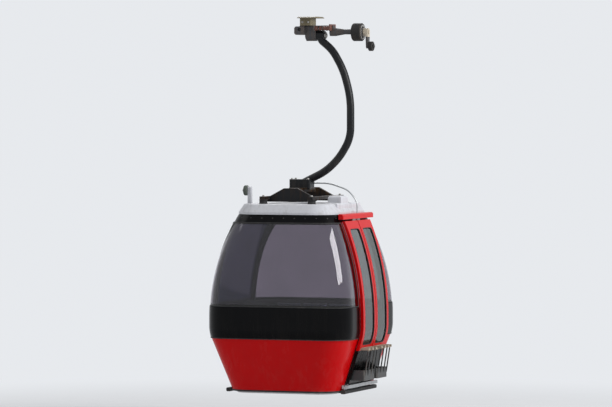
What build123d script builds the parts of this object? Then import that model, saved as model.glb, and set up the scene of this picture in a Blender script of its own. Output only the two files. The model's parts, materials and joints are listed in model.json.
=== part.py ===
from build123d import *

import os
from math import atan, cos, radians, sqrt, tan

# Cable car cabin with its hanger and detachable grip, in millimetres.
# The origin is on the axis of the haul rope, at the middle of the grip's jaws.
# Y runs along the rope, Z is up, and the doors are on the +X side.
# Heights in the cabin's sections are measured up from the cabin's lowest point.

# Rope, and the drop from its axis to the top of the roof
ROPE_DIAMETER = 45
ROPE_TO_ROOF = 2040

# Cabin body, outside: widths are across the rope, lengths along it
WAIST_WIDTH = 1750
WAIST_LENGTH = 1950
BOTTOM_WIDTH = 1310
BOTTOM_LENGTH = 1510
HEADER_WIDTH = 1210
HEADER_LENGTH = 1410
CORNER_RADIUS = 290
KNEE_RADIUS = 500

# Heights of the body's bands, from the bottom up
SKIRT_BASE = 20
WAIST_BASE = 640
WAIST_BAND = 370
WINDOW_HEIGHT = 980
HEADER_HEIGHT = 90
ROOF_HEIGHT = 120

# Where the leaning skirt would meet the upright waist, and where the inward curve starts
KNEE_ABOVE_SKIRT = 60
CURVE_ABOVE_SKIRT = 240

# Walls
WALL = 40
GLASS = 8
BAND_PROUD = 8
SEAT_CLEARANCE = 0.3

# Posts and doorway, along the cabin
DOORWAY = 820
DOOR_POST = 56
SIDE_WINDOW = 1200
SIDE_POST = 60

# Roof and ceiling
ROOF_OVERHANG = 10
ROOF_LIP = 25
ROOF_LEAN = 35
ROOF_EDGE = 30
ROOF_WALL = 18
CEILING = 20

# Floor
FLOOR_BASE = 60
FLOOR_THICKNESS = 30
FRAME_RING = 70
FLOOR_BEAM = 60
FLOOR_BEAM_PLACE = 250

# Bumper rails
BUMPER_HEIGHT = 46
BUMPER_DEPTH = 58
BUMPER_LENGTH = 1120
BUMPER_GAP = 12
BUMPER_EDGE = 16
LUG_WIDTH = 60
LUG_THICKNESS = 14
LUG_SPACING = 400

# Door leaves
LEAF_GAP = 15
LEAF_THICKNESS = 35
LEAF_WIDTH = 436
LEAF_BASE = 108
LEAF_OVERLAP = 13
LEAF_GLASS = 6
LEAF_GLASS_BASE = 560
HEAD_STILE = 90
LEADING_STILE = 46
OUTER_STILE = 60
LEAF_CORNER = 45
SEAL = 6
SEAL_GAP = 6
DOOR_TRAVEL = 390

# Door track above and sill rail below
MOVING_CLEARANCE = 6
TRACK_WALL = 6
TRACK_GAP = 22
TRACK_HEIGHT = 62
TRACK_DEPTH = 60
TRACK_EDGE = 24
TRACK_ROLLER_RADIUS = 15
TROLLEY_PLACE = 75
TROLLEY_LENGTH = 110
TROLLEY_PLATE = 8
SILL_RAIL_BASE = 62
SILL_RAIL_DEPTH = 70
SILL_GAP = 8
GUIDE_BLADE = 9.4
GUIDE_LENGTH = 100
GROOVE_DEPTH = 14

# Ski racks on the leaves
RACK_INSET = 45
TRAY_BASE = 150
TRAY_HEIGHT = 120
TRAY_DEPTH = 170
TRAY_WALL = 6
COMB_BASE = 505
COMB_THICKNESS = 28
COMB_DEPTH = 120
COMB_SLOTS = 3
COMB_FINGER = 40
RACK_BAR_RADIUS = 8

# Benches
SEAT_HEIGHT = 500
SEAT_CUSHION = 70
SEAT_BOARD = 22
BENCH_FRONT = 475
BENCH_PANEL = 20
SEATS = 4
SEAT_ROW = 1320
SEAT_SPACE = 10
BACK_CUSHION = 60
BACK_BELOW_SILL = 25

# Grip
JAW_LENGTH = 190
JAW_TOP = 45
JAW_SPLIT = 2
JAW_FACE = 60
JAW_BOTTOM = 64
PIN_DROP = 70
PIN_RADIUS = 25
RUNNING_FIT = 0.06
BARREL_END = 190
BEAM_END = 400
BEAM_WIDTH = 64
SHOE_LENGTH = 330
SHOE_WIDTH = 220
SHOE_THICKNESS = 18
SHOE_BASE = 130
SHOE_BRACKET_LENGTH = 180
SHOE_BRACKET_CORNER = 20
SPRING_RADIUS = 27
SPRING_SPACING = 132
SPRING_LENGTH = 182
YOKE_THICKNESS = 16
SPINDLE_DROP = 35
SPINDLE_RADIUS = 30
WHEEL_PLACE = 700
WHEEL_RADIUS = 105
WHEEL_WIDTH = 130
WHEEL_HUB_RADIUS = 50
WHEEL_WEB = 26
TYRE_DEPTH = 18
SHAFT_RADIUS = 16
LEVER_LENGTH = 165
LEVER_THICKNESS = 26
LEVER_ROLLER_RADIUS = 56
LEVER_ROLLER_WIDTH = 50
ROLLER_PIN_RADIUS = 12

# Hanger
TUBE_RADIUS = 45
HEAD_RADIUS = 56
HEAD_WIDTH = 90
FOOT_LENGTH = 260
FOOT_WIDTH = 180
FOOT_HEIGHT = 100
FOOT_CORNER = 25

# Frame between the hanger's foot and the roof
MOUNT_SPACING_X = 600
RAIL_PAST_MOUNT = 5
MOUNT_RADIUS = 45
MOUNT_HEIGHT = 50
FRAME_HEIGHT = 130
FRAME_RAIL = 60
FRAME_RAIL_HEIGHT = 36
FRAME_RAIL_LENGTH = 1080
ARCH_SPACING = 720
ARCH_THICKNESS = 44
ARCH_TOP = 170
ARCH_FOOT = 40
ARCH_APRON = 28
TOP_BEAM = 90
TOP_BEAM_HEIGHT = 50

# Door drive on the roof
DRIVE_INNER = 405
DRIVE_OUTER = 585
DRIVE_LENGTH = 800
DRIVE_RISE = 12
DRUM_LENGTH = 250
DRUM_RISE = 80
DRIVE_EDGE = 26
ROD_RADIUS = 9
ROD_PLACE = 56

# Guide roller on the roof's closed side
POST_PLACE_X = -540
POST_PLACE_Y = -300
POST_WIDTH = 52
POST_THICKNESS = 40
POST_RISE = 195
ROOF_ROLLER_DROP = 45
ROOF_ROLLER_RADIUS = 60
ROOF_ROLLER_WIDTH = 40
ROOF_PIN_RADIUS = 11

# Heights and limits worked out from the sizes above
knee_height = WAIST_BASE + KNEE_ABOVE_SKIRT
curve_start = WAIST_BASE + CURVE_ABOVE_SKIRT
sill_height = WAIST_BASE + WAIST_BAND
window_head = sill_height + WINDOW_HEIGHT
header_top = window_head + HEADER_HEIGHT
cabin_height = header_top + ROOF_HEIGHT
cabin_bottom = -(ROPE_TO_ROOF + cabin_height)
floor_top = FLOOR_BASE + FLOOR_THICKNESS
door_post_end = DOORWAY / 2 + DOOR_POST
side_post_end = SIDE_WINDOW / 2 + SIDE_POST
side_seam = (SIDE_WINDOW + SIDE_POST) / 2
lean = (WAIST_WIDTH - BOTTOM_WIDTH) / 2 / knee_height
far = 2 * WAIST_LENGTH
all_z = (cabin_bottom - far, far)

pieces = {}


def level(height):
    """Z of a height above the cabin's lowest point."""
    return cabin_bottom + height


def block(x, y, z):
    """Box between pairs of limits."""
    size = [abs(pair[1] - pair[0]) for pair in (x, y, z)]
    middle = [(pair[0] + pair[1]) / 2 for pair in (x, y, z)]
    return Pos(*middle) * Box(*size)


def around(middle, width):
    """Pair of limits about a middle."""
    return (middle - width / 2, middle + width / 2)


def slab(low, high):
    """Everything between two heights above the cabin's lowest point."""
    return block((-far, far), (-far, far), (level(low), level(high)))


def rod_x(start, end, y, z, radius):
    """Round bar along X."""
    return Pos((start + end) / 2, y, z) * Rot(0, 90, 0) * Cylinder(radius, abs(end - start))


def turned_x(y, z, profile):
    """Solid turned about a line along X, from points of (place along X, radius)."""
    points = [(x, radius) for x, radius in profile]
    face = make_face(Polyline(*points, points[0]))
    return Pos(0, y, z) * revolve(face, axis=Axis.X)


def smooth_path(points):
    """Straight runs joined by tangent arcs, each arc as large as its two runs allow."""
    corners = [Vector(*point) for point in points]
    radii = []
    for before, here, after in zip(corners, corners[1:], corners[2:]):
        run = min((here - before).length, (after - here).length)
        turn = radians((here - before).get_angle(after - here))
        radii.append(0.45 * run / tan(turn / 2))
    return FilletPolyline(*points, radius=radii)


def round_bar(path, radius):
    """Round section swept along a path."""
    return sweep(Plane(origin=path @ 0, z_dir=path % 0) * Circle(radius), path=path)


def other_end(shape):
    """The same piece at the other end of the cabin."""
    return mirror(shape, about=Plane.XZ)


def group(*shapes):
    """Separate solids kept as one piece."""
    return Compound(children=[shape.solid() for shape in shapes])


# The cabin's form

def curve_radius(waist, header):
    """Radius of the inward curve from the waist up to the header."""
    inset = (waist - header) / 2
    rise = header_top - curve_start
    return (rise ** 2 + inset ** 2) / (2 * inset)


def outline(waist, bottom, header, grow):
    """Closed outline of the cabin, across or along it: leaning skirt, waist, inward curve."""
    half, foot = waist / 2, bottom / 2
    radius = curve_radius(waist, header)
    below, above = -150, cabin_height
    foot_half = foot + (half - foot) / knee_height * below
    top_half = half - radius + sqrt(radius ** 2 - (above - curve_start) ** 2)
    lower = Polyline((foot_half, below), (half, knee_height), (half, curve_start))
    upper = TangentArc((half, curve_start), (top_half, above), tangent=(0, 1))
    side = lower + upper
    ends = Line((foot_half, below), (-foot_half, below)) + Line((top_half, above), (-top_half, above))
    face = make_face([*side.edges(), *mirror(side, Plane.YZ).edges(), *ends.edges()])
    knees = [corner for corner in face.vertices() if abs(corner.Y - knee_height) < 1]
    face = fillet(knees, KNEE_RADIUS)
    return offset(face, amount=grow, kind=Kind.INTERSECTION) if grow else face


def side_prism(grow):
    """The outline across the cabin, run along it. The side walls and the door leaves follow it."""
    plane = Plane(origin=(0, 0, cabin_bottom), x_dir=(1, 0, 0), z_dir=(0, -1, 0))
    return extrude(plane * outline(WAIST_WIDTH, BOTTOM_WIDTH, HEADER_WIDTH, grow), amount=far, both=True)


def end_prism(grow):
    """The outline along the cabin, run across it. The end walls follow it."""
    plane = Plane(origin=(0, 0, cabin_bottom), x_dir=(0, 1, 0), z_dir=(1, 0, 0))
    return extrude(plane * outline(WAIST_LENGTH, BOTTOM_LENGTH, HEADER_LENGTH, grow), amount=far, both=True)


def hull(grow):
    """The cabin's rounded body, grown or shrunk evenly, running on past its top and bottom."""
    body = side_prism(grow) & end_prism(grow)
    corners = [edge for edge in body.edges() if edge.bounding_box().size.Z > 20]
    return fillet(corners, CORNER_RADIUS + grow)


def side_at(height, grow):
    """X of the side wall at a height, for a surface moved outward by grow."""
    if height < WAIST_BASE:
        return BOTTOM_WIDTH / 2 + lean * height + grow / cos(atan(lean))
    radius = curve_radius(WAIST_WIDTH, HEADER_WIDTH)
    return WAIST_WIDTH / 2 - radius + sqrt((radius + grow) ** 2 - (height - curve_start) ** 2)


def end_region(near, closed):
    """Space at the +Y end, past one limit on the door side and another on the closed side."""
    return block((0, far), (near, far), all_z) + block((-far, 0), (closed, far), all_z)


def strip(side, low, high):
    """Space on one side of the cabin (+1 is the door side) between two places along it."""
    return block(sorted((0, side * far)), (low, high), all_z)


def roof_form(inset, top):
    """Roof cap: an upright lip, then a slope on all sides up to a flat top."""
    width = HEADER_WIDTH + 2 * (ROOF_OVERHANG - inset)
    length = HEADER_LENGTH + 2 * (ROOF_OVERHANG - inset)
    plan = RectangleRounded(width, length, CORNER_RADIUS + ROOF_OVERHANG - inset)
    slope_base = level(header_top + ROOF_LIP)
    lip = extrude(Pos(0, 0, level(header_top)) * plan, amount=ROOF_LIP)
    return lip + extrude(Pos(0, 0, slope_base) * plan, amount=level(top) - slope_base, taper=ROOF_LEAN)


skin = hull(0)
liner = hull(-WALL)
wall = skin - liner
roof_outside = roof_form(0, cabin_height)
roof_outside = fillet(roof_outside.faces().sort_by(Axis.Z)[-1].edges(), ROOF_EDGE)


# Body panels, posts and windows

def make_body_panels():
    lower = wall & slab(SKIRT_BASE, WAIST_BASE)
    waist = (hull(BAND_PROUD) - liner) & slab(WAIST_BASE, sill_height)
    end = end_region(door_post_end, side_seam)
    for name, ring in (("lower_panel", lower), ("waist_panel", waist)):
        pieces[name + "_rear"] = ring & end
        pieces[name + "_front"] = other_end(pieces[name + "_rear"])
        pieces[name + "_side"] = ring & strip(-1, -side_seam, side_seam)
    pieces["header_ring"] = wall & slab(window_head, header_top)


def make_posts():
    door_post = wall & slab(SKIRT_BASE, window_head) & strip(1, DOORWAY / 2, door_post_end)
    side_post = wall & slab(sill_height, window_head) & strip(-1, SIDE_WINDOW / 2, side_post_end)
    pieces["door_posts"] = group(door_post, other_end(door_post))
    pieces["side_posts"] = group(side_post, other_end(side_post))


def make_windows():
    panes = (skin - hull(-GLASS)) & slab(sill_height, window_head)
    pieces["end_window_rear"] = panes & end_region(door_post_end, side_post_end)
    pieces["end_window_front"] = other_end(pieces["end_window_rear"])
    pieces["side_window"] = panes & strip(-1, -SIDE_WINDOW / 2, SIDE_WINDOW / 2)


# Roof, ceiling, floor and the rails below the floor

def make_roof_and_floor():
    pieces["roof_shell"] = roof_outside - roof_form(ROOF_WALL, cabin_height - ROOF_WALL)
    pieces["ceiling_panel"] = liner & slab(header_top - CEILING, header_top)
    doorstep = skin & strip(1, -DOORWAY / 2, DOORWAY / 2)
    pieces["floor_plate"] = (liner + doorstep) & slab(FLOOR_BASE, floor_top)
    frame = liner - hull(-WALL - FRAME_RING)
    for place in (-FLOOR_BEAM_PLACE, FLOOR_BEAM_PLACE):
        frame += liner & block(around(place, FLOOR_BEAM), (-far, far), all_z)
        frame += liner & block((-far, far), around(place, FLOOR_BEAM), all_z)
    pieces["floor_frame"] = frame & slab(0, FLOOR_BASE)


def make_bumper_rails():
    """Guide bars low on both long sides, each on three lugs from the floor frame."""
    inner = side_at(BUMPER_HEIGHT, 0) + BUMPER_GAP
    bar = block((inner, inner + BUMPER_DEPTH), around(0, BUMPER_LENGTH), (level(0), level(BUMPER_HEIGHT)))
    bar = fillet(bar.edges().filter_by(Axis.Y), BUMPER_EDGE)
    lug_top = SKIRT_BASE - 4
    lug_z = (level(lug_top - LUG_THICKNESS), level(lug_top))
    for place in (-LUG_SPACING, 0, LUG_SPACING):
        bar += block((inner - WALL * 3, inner + BUMPER_EDGE), around(place, LUG_WIDTH), lug_z) - liner
    pieces["bumper_rail_door_side"] = bar
    pieces["bumper_rail_far_side"] = mirror(bar, about=Plane.YZ)


# Door leaves, their rails and ski racks

leaf_start = SEAL_GAP / 2
leaf_end = leaf_start + SEAL + LEAF_WIDTH
leaf_head = window_head + LEAF_OVERLAP
leaf_outside = LEAF_GAP + LEAF_THICKNESS
leaf_core = LEAF_GAP + LEAF_THICKNESS / 2
track_base = leaf_head + TRACK_GAP
track_top = track_base + TRACK_HEIGHT
track_x = side_at(leaf_head, leaf_core)
guide_x = side_at(LEAF_BASE, leaf_core)
sill_top = LEAF_BASE - SILL_GAP
rail_half = TROLLEY_PLACE + DOOR_TRAVEL + TROLLEY_LENGTH / 2 + MOVING_CLEARANCE + TRACK_WALL
rail_web = (-door_post_end + FRAME_RAIL / 2, door_post_end - FRAME_RAIL / 2)


def make_door_track():
    """Track above the leaves, open below by a slot, with a web to the header and roof."""
    x = around(track_x, TRACK_DEPTH)
    z = (level(track_base), level(track_top))
    track = block(x, (-rail_half, rail_half), z)
    crown = track.edges().filter_by(Axis.Y).sort_by(lambda edge: edge.center().X + edge.center().Z)[-1]
    track = fillet(crown, TRACK_EDGE)
    outer_ends = track.edges().filter_by(Axis.Z).group_by(Axis.X)[-1]
    track = chamfer(outer_ends, TRACK_WALL)
    track += block((0, x[0]), rail_web, z) - skin - roof_outside
    inside = (-rail_half + TRACK_WALL, rail_half - TRACK_WALL)
    track -= block((x[0] + TRACK_WALL, x[1] - TRACK_WALL), inside,
                   (z[0] + TRACK_WALL, z[1] - TRACK_EDGE / 2))
    slot = around(track_x, TROLLEY_PLATE + 2 * MOVING_CLEARANCE)
    pieces["door_track"] = track - block(slot, inside, (z[0] - 1, z[0] + TRACK_WALL + 1))


def make_door_sill():
    """Sill rail with a groove that guides the blades under the leaves."""
    z = (level(SILL_RAIL_BASE), level(sill_top))
    x = around(guide_x, SILL_RAIL_DEPTH)
    sill = block(x, (-rail_half, rail_half), z) + (block((0, x[0]), rail_web, z) - skin)
    groove = around(guide_x, GUIDE_BLADE + 2 * SEAT_CLEARANCE)
    pieces["door_sill"] = sill - block(groove, (-far, far), (z[1] - GROOVE_DEPTH, z[1] + 1))


def leaf_layer(inside, outside):
    """A curved sheet between two distances out from the side wall."""
    return side_prism(outside) - side_prism(inside)


def make_trolley():
    """Plate on the leaf's head with two pairs of rollers inside the track."""
    axle_z = level(track_base + TRACK_WALL + SEAT_CLEARANCE + TRACK_ROLLER_RADIUS)
    y = around(TROLLEY_PLACE, TROLLEY_LENGTH)
    reach = TRACK_DEPTH / 2 - TRACK_WALL - MOVING_CLEARANCE
    trolley = block(around(track_x, TROLLEY_PLATE), y, (level(leaf_head), axle_z + TRACK_ROLLER_RADIUS / 2))
    for place in (y[0] + TRACK_ROLLER_RADIUS, y[1] - TRACK_ROLLER_RADIUS):
        trolley += rod_x(track_x - reach, track_x + reach, place, axle_z, TRACK_ROLLER_RADIUS / 2)
        for side in (-1, 1):
            inner = track_x + side * (TROLLEY_PLATE / 2 + 4)
            trolley += rod_x(inner, track_x + side * reach, place, axle_z, TRACK_ROLLER_RADIUS)
    return trolley


def make_ski_rack():
    """Open rack low on a leaf: slotted comb above, tray below, round bars between them."""
    y = (leaf_start + RACK_INSET, leaf_end - RACK_INSET)
    tray_end = side_at(TRAY_BASE + TRAY_HEIGHT, leaf_outside) + TRAY_DEPTH - WALL
    comb_end = side_at(COMB_BASE, leaf_outside) + COMB_DEPTH
    comb_z = (level(COMB_BASE), level(COMB_BASE + COMB_THICKNESS))
    comb = block((0, comb_end), y, comb_z)
    comb = fillet(comb.edges().group_by(Axis.X)[-1].filter_by(Axis.Z), COMB_FINGER / 2)
    pitch = (y[1] - y[0]) / COMB_SLOTS
    slot_start = side_at(COMB_BASE + COMB_THICKNESS, leaf_outside) + COMB_THICKNESS
    for index in range(COMB_SLOTS):
        slot = block((slot_start, comb_end + 1), around(y[0] + pitch * (index + 0.5), pitch - COMB_FINGER),
                     (comb_z[0] - 1, comb_z[1] + 1))
        comb -= fillet(slot.edges().group_by(Axis.X)[0].filter_by(Axis.Z), COMB_FINGER / 2)
    tray_z = (level(TRAY_BASE), level(TRAY_BASE + TRAY_HEIGHT))
    tray = block((0, tray_end), y, tray_z)
    tray = fillet(tray.edges().group_by(Axis.X)[-1].filter_by(Axis.Z), COMB_FINGER / 2)
    tray -= block((0, tray_end - TRAY_WALL), (y[0] + TRAY_WALL, y[1] - TRAY_WALL),
                  (tray_z[0] + TRAY_WALL, tray_z[1] + 1))
    rack = comb + tray
    for index in range(COMB_SLOTS + 1):
        place = y[0] + pitch * index
        place = min(max(place, y[0] + COMB_FINGER / 2), y[1] - COMB_FINGER / 2)
        foot = (tray_end - TRAY_WALL / 2, place, tray_z[1] - TRAY_HEIGHT / 2)
        head = (comb_end - COMB_FINGER / 2, place, comb_z[0] + COMB_THICKNESS / 2)
        rack += round_bar(Line(foot, head), RACK_BAR_RADIUS)
    return rack - side_prism(leaf_outside)


def make_door_leaf():
    """One leaf, at the +Y side of the doorway: frame, glass, seal, trolley and ski rack."""
    start = leaf_start + SEAL
    leaf = leaf_layer(LEAF_GAP, leaf_outside)
    leaf &= block((0, far), (start, leaf_end), (level(LEAF_BASE), level(leaf_head)))
    window = block((0, far), (start + LEADING_STILE, leaf_end - OUTER_STILE),
                   (level(LEAF_GLASS_BASE), level(leaf_head - HEAD_STILE)))
    window = fillet(window.edges().filter_by(Axis.X), LEAF_CORNER)
    blade_z = (level(sill_top - GROOVE_DEPTH + 4), level(LEAF_BASE + LEAF_THICKNESS / 2))
    leaf += block(around(guide_x, GUIDE_BLADE), around(TROLLEY_PLACE, GUIDE_LENGTH), blade_z)
    pane = leaf_layer(leaf_core, leaf_core + LEAF_GLASS) & window
    seal = leaf_layer(leaf_core - LEAF_THICKNESS / 4, leaf_core + LEAF_THICKNESS / 4)
    seal &= block((0, far), (leaf_start, start), (level(LEAF_BASE + SEAL), level(leaf_head - SEAL)))
    return {"door_frame": leaf - window, "door_glass": pane, "door_seal": seal,
            "door_trolley": make_trolley(), "ski_rack": make_ski_rack()}


def make_doors():
    make_door_track()
    make_door_sill()
    for name, shape in make_door_leaf().items():
        pieces[name + "_rear"] = shape
        pieces[name + "_front"] = other_end(shape)


# Benches

def make_bench():
    """Bench at the +Y end: a board on a front panel, seat cushions and back cushions."""
    board_top = SEAT_HEIGHT - SEAT_CUSHION
    board_z = (level(board_top - SEAT_BOARD), level(board_top))
    board = block((-far, far), (BENCH_FRONT + BENCH_PANEL / 2, far), board_z)
    panel = block((-far, far), (BENCH_FRONT + BENCH_PANEL, BENCH_FRONT + 2 * BENCH_PANEL),
                  (level(floor_top), board_z[0]))
    seat_room = hull(-WALL - BACK_CUSHION - SEAT_SPACE)
    back_room = hull(-WALL - SEAT_CLEARANCE) - hull(-WALL - BACK_CUSHION)
    back_room &= slab(SEAT_HEIGHT + SEAT_SPACE, sill_height - BACK_BELOW_SILL)
    seats, backs = [], []
    pitch = SEAT_ROW / SEATS
    for index in range(SEATS):
        x = around(pitch * (index + 0.5) - SEAT_ROW / 2, pitch - SEAT_SPACE)
        seats.append(seat_room & block(x, (BENCH_FRONT, far), (level(board_top), level(SEAT_HEIGHT))))
        backs.append(back_room & block(x, (0, far), all_z))
    return {"bench": (board + panel) & liner, "seat_cushions": group(*seats), "back_cushions": group(*backs)}


def make_benches():
    for name, shape in make_bench().items():
        pieces[name + "_rear"] = shape
        pieces[name + "_front"] = other_end(shape)


# Grip: everything here is fixed to the rope

pin_z = -PIN_DROP
spindle_z = -SPINDLE_DROP
head_start = BARREL_END + MOVING_CLEARANCE
head_end = head_start + HEAD_WIDTH
wheel_face = WHEEL_PLACE - WHEEL_WIDTH / 2
wheel_end = WHEEL_PLACE + WHEEL_WIDTH / 2
rope = Rot(90, 0, 0) * Cylinder(ROPE_DIAMETER / 2, far)


def make_grip_body():
    """Casting: fixed jaw, barrel for the hanger's pin, beam over the hanger, arm and wheel spindle."""
    jaw_y, barrel_y = around(0, JAW_LENGTH), around(0, 2 * HEAD_RADIUS)
    jaw = block((JAW_SPLIT / 2, JAW_FACE), jaw_y, (-ROPE_DIAMETER / 2 - JAW_SPLIT, JAW_TOP))
    ends = jaw.edges().filter_by(Axis.X).group_by(Axis.Z)[-1]
    body = chamfer(ends, JAW_TOP - ROPE_DIAMETER / 2 - 4)
    barrel_bottom = pin_z - HEAD_RADIUS
    shoulder = block((JAW_FACE, BARREL_END), barrel_y, (pin_z, JAW_TOP))
    body += fillet(shoulder.edges().filter_by(Axis.X).group_by(Axis.Z)[-1], 14)
    body += rod_x(JAW_FACE, BARREL_END, 0, pin_z, HEAD_RADIUS)
    body += block((JAW_FACE, BARREL_END), around(0, 24), (barrel_bottom - 10, pin_z))
    body += block((BARREL_END, BEAM_END), around(0, BEAM_WIDTH), (pin_z + HEAD_RADIUS + MOVING_CLEARANCE, JAW_TOP))
    flange_y = around(0, SPRING_SPACING + 2 * SPRING_RADIUS + 14)
    body += block((BARREL_END - YOKE_THICKNESS, BARREL_END), flange_y, (spindle_z / 2, JAW_TOP))
    arm = WHEEL_HUB_RADIUS
    body += turned_x(0, spindle_z, [
        (BEAM_END - 40, 0), (BEAM_END - 40, arm), (BEAM_END + 20, arm), (wheel_face - 100, arm - 16),
        (wheel_face - MOVING_CLEARANCE, arm - 14), (wheel_face - MOVING_CLEARANCE, SPINDLE_RADIUS),
        (wheel_end + 4, SPINDLE_RADIUS), (wheel_end + 4, 0)])
    body -= rope
    body -= rod_x(0, far, 0, pin_z, PIN_RADIUS)
    pieces["grip_body"] = body - rod_x(BEAM_END + 60, far, 0, spindle_z, SHAFT_RADIUS + SEAT_CLEARANCE)


def make_jaw_and_springs():
    """Moving jaw hooked under the rope, spring cans between flange and yoke, shoe on its bracket."""
    jaw_y = around(0, JAW_LENGTH)
    jaw = block((-JAW_BOTTOM + 2, -JAW_SPLIT / 2), jaw_y, (-JAW_BOTTOM, JAW_TOP - 10))
    jaw = chamfer(jaw.edges().group_by(Axis.X)[0].filter_by(Axis.Y), 18)
    jaw += block((-JAW_SPLIT, JAW_FACE), jaw_y, (-JAW_BOTTOM, -ROPE_DIAMETER / 2 - 2 * JAW_SPLIT))
    pieces["moving_jaw"] = jaw - rope

    spring_end = BARREL_END + SPRING_LENGTH
    spring_z = JAW_TOP - SPRING_RADIUS - 6
    cans = []
    for place in (-SPRING_SPACING / 2, SPRING_SPACING / 2):
        cap, body = SPRING_RADIUS, SPRING_RADIUS - 4
        cans.append(turned_x(place, spring_z, [
            (BARREL_END, 0), (BARREL_END, cap), (BARREL_END + 24, cap), (BARREL_END + 24, body),
            (spring_end - 34, body), (spring_end - 34, cap), (spring_end, cap), (spring_end, 0)]))
    pieces["spring_cans"] = group(*cans)
    yoke_y = around(0, SPRING_SPACING + 2 * SPRING_RADIUS + 14)
    yoke = block((spring_end, spring_end + YOKE_THICKNESS), yoke_y, (spindle_z / 2, JAW_TOP + 14))
    yoke = fillet(yoke.edges().filter_by(Axis.X), 10)
    yoke -= block((0, far), around(0, BEAM_WIDTH + 2 * SEAT_CLEARANCE), (-far, JAW_TOP))
    pieces["spring_yoke"] = yoke - rod_x(0, far, 0, spindle_z, WHEEL_HUB_RADIUS + SEAT_CLEARANCE)

    shoe = block((0, SHOE_WIDTH), around(0, SHOE_LENGTH), (SHOE_BASE, SHOE_BASE + SHOE_THICKNESS))
    bracket = block((JAW_SPLIT, BARREL_END - 2 * SHOE_BRACKET_CORNER), around(0, SHOE_BRACKET_LENGTH),
                    (JAW_TOP, SHOE_BASE))
    bracket = fillet(bracket.edges().filter_by(Axis.Z), SHOE_BRACKET_CORNER)
    pieces["drive_shoe"] = chamfer(shoe.edges().filter_by(Axis.X).group_by(Axis.Z)[-1], 10, 60) + bracket


def make_pin_and_lever():
    """Pin for the hanger, and the clamp lever on a shaft through the wheel's spindle."""
    cap = head_end + MOVING_CLEARANCE
    pieces["hanger_pin"] = turned_x(0, pin_z, [
        (JAW_FACE, 0), (JAW_FACE, PIN_RADIUS), (cap, PIN_RADIUS), (cap, PIN_RADIUS + 12),
        (cap + 14, PIN_RADIUS + 12), (cap + 14, PIN_RADIUS - 8), (cap + 24, PIN_RADIUS - 8), (cap + 24, 0)])

    lever_start = wheel_end + 10
    link = (lever_start + 30, lever_start + 30 + LEVER_THICKNESS)
    lever_z = spindle_z - LEVER_LENGTH
    boss, eye = WHEEL_HUB_RADIUS - 4, ROLLER_PIN_RADIUS + 14
    lever = rod_x(lever_start, link[1], 0, spindle_z, boss) + rod_x(*link, 0, lever_z, eye)
    web = make_face(Polyline((-boss, spindle_z), (boss, spindle_z), (eye, lever_z), (-eye, lever_z),
                             (-boss, spindle_z)))
    lever += extrude(Plane(origin=(link[0], 0, 0), x_dir=(0, 1, 0), z_dir=(1, 0, 0)) * web,
                     amount=LEVER_THICKNESS)
    lever += rod_x(BEAM_END + 61, link[1], 0, spindle_z, SHAFT_RADIUS)
    lever += rod_x(link[1], link[1] + 8, 0, spindle_z, SHAFT_RADIUS + 8)
    roller_x = (link[1] + MOVING_CLEARANCE, link[1] + MOVING_CLEARANCE + LEVER_ROLLER_WIDTH)
    pin_end = roller_x[1] + MOVING_CLEARANCE
    lever += rod_x(link[1], pin_end, 0, lever_z, ROLLER_PIN_RADIUS)
    lever += rod_x(pin_end, pin_end + 10, 0, lever_z, ROLLER_PIN_RADIUS + 9)
    pieces["clamp_lever"] = lever
    bore, rim = ROLLER_PIN_RADIUS + RUNNING_FIT, LEVER_ROLLER_RADIUS
    pieces["lever_roller"] = turned_x(0, lever_z, [
        (roller_x[0], bore), (roller_x[0], rim - 5), (roller_x[0] + 5, rim), (roller_x[1] - 5, rim),
        (roller_x[1], rim - 5), (roller_x[1], bore)])


def make_running_wheel():
    """Steel wheel with a thin web, running on the spindle, and its crowned tyre."""
    rim, inner_rim = WHEEL_RADIUS - TYRE_DEPTH, WHEEL_RADIUS - 2 * TYRE_DEPTH
    bore = SPINDLE_RADIUS + RUNNING_FIT
    web = around(WHEEL_PLACE, WHEEL_WEB)
    pieces["running_wheel"] = turned_x(0, spindle_z, [
        (wheel_face, bore), (wheel_face, WHEEL_HUB_RADIUS), (web[0], WHEEL_HUB_RADIUS + 4), (web[0], inner_rim - 3),
        (wheel_face + 6, inner_rim), (wheel_face + 6, rim), (wheel_end - 6, rim), (wheel_end - 6, inner_rim),
        (web[1], inner_rim - 3), (web[1], WHEEL_HUB_RADIUS + 4), (wheel_end, WHEEL_HUB_RADIUS), (wheel_end, bore)])
    pieces["wheel_tyre"] = turned_x(0, spindle_z, [
        (wheel_face + 6, rim), (wheel_face + 6, WHEEL_RADIUS - 8), (wheel_face + 16, WHEEL_RADIUS),
        (wheel_end - 16, WHEEL_RADIUS), (wheel_end - 6, WHEEL_RADIUS - 8), (wheel_end - 6, rim)])


# Hanger, and the frame between its foot and the roof

frame_base = level(cabin_height) + MOUNT_HEIGHT
frame_top = frame_base + FRAME_HEIGHT
foot_middle = frame_top + FOOT_HEIGHT / 2
head_middle = head_start + HEAD_WIDTH / 2

# The tube's bow: (X, drop below the rope) down to the straight, then (X, height above the foot)
BOW_TOP = [(385, 245), (520, 480), (607, 800)]
BOW_FOOT = [(607, 535), (470, 305), (300, 145)]


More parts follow.
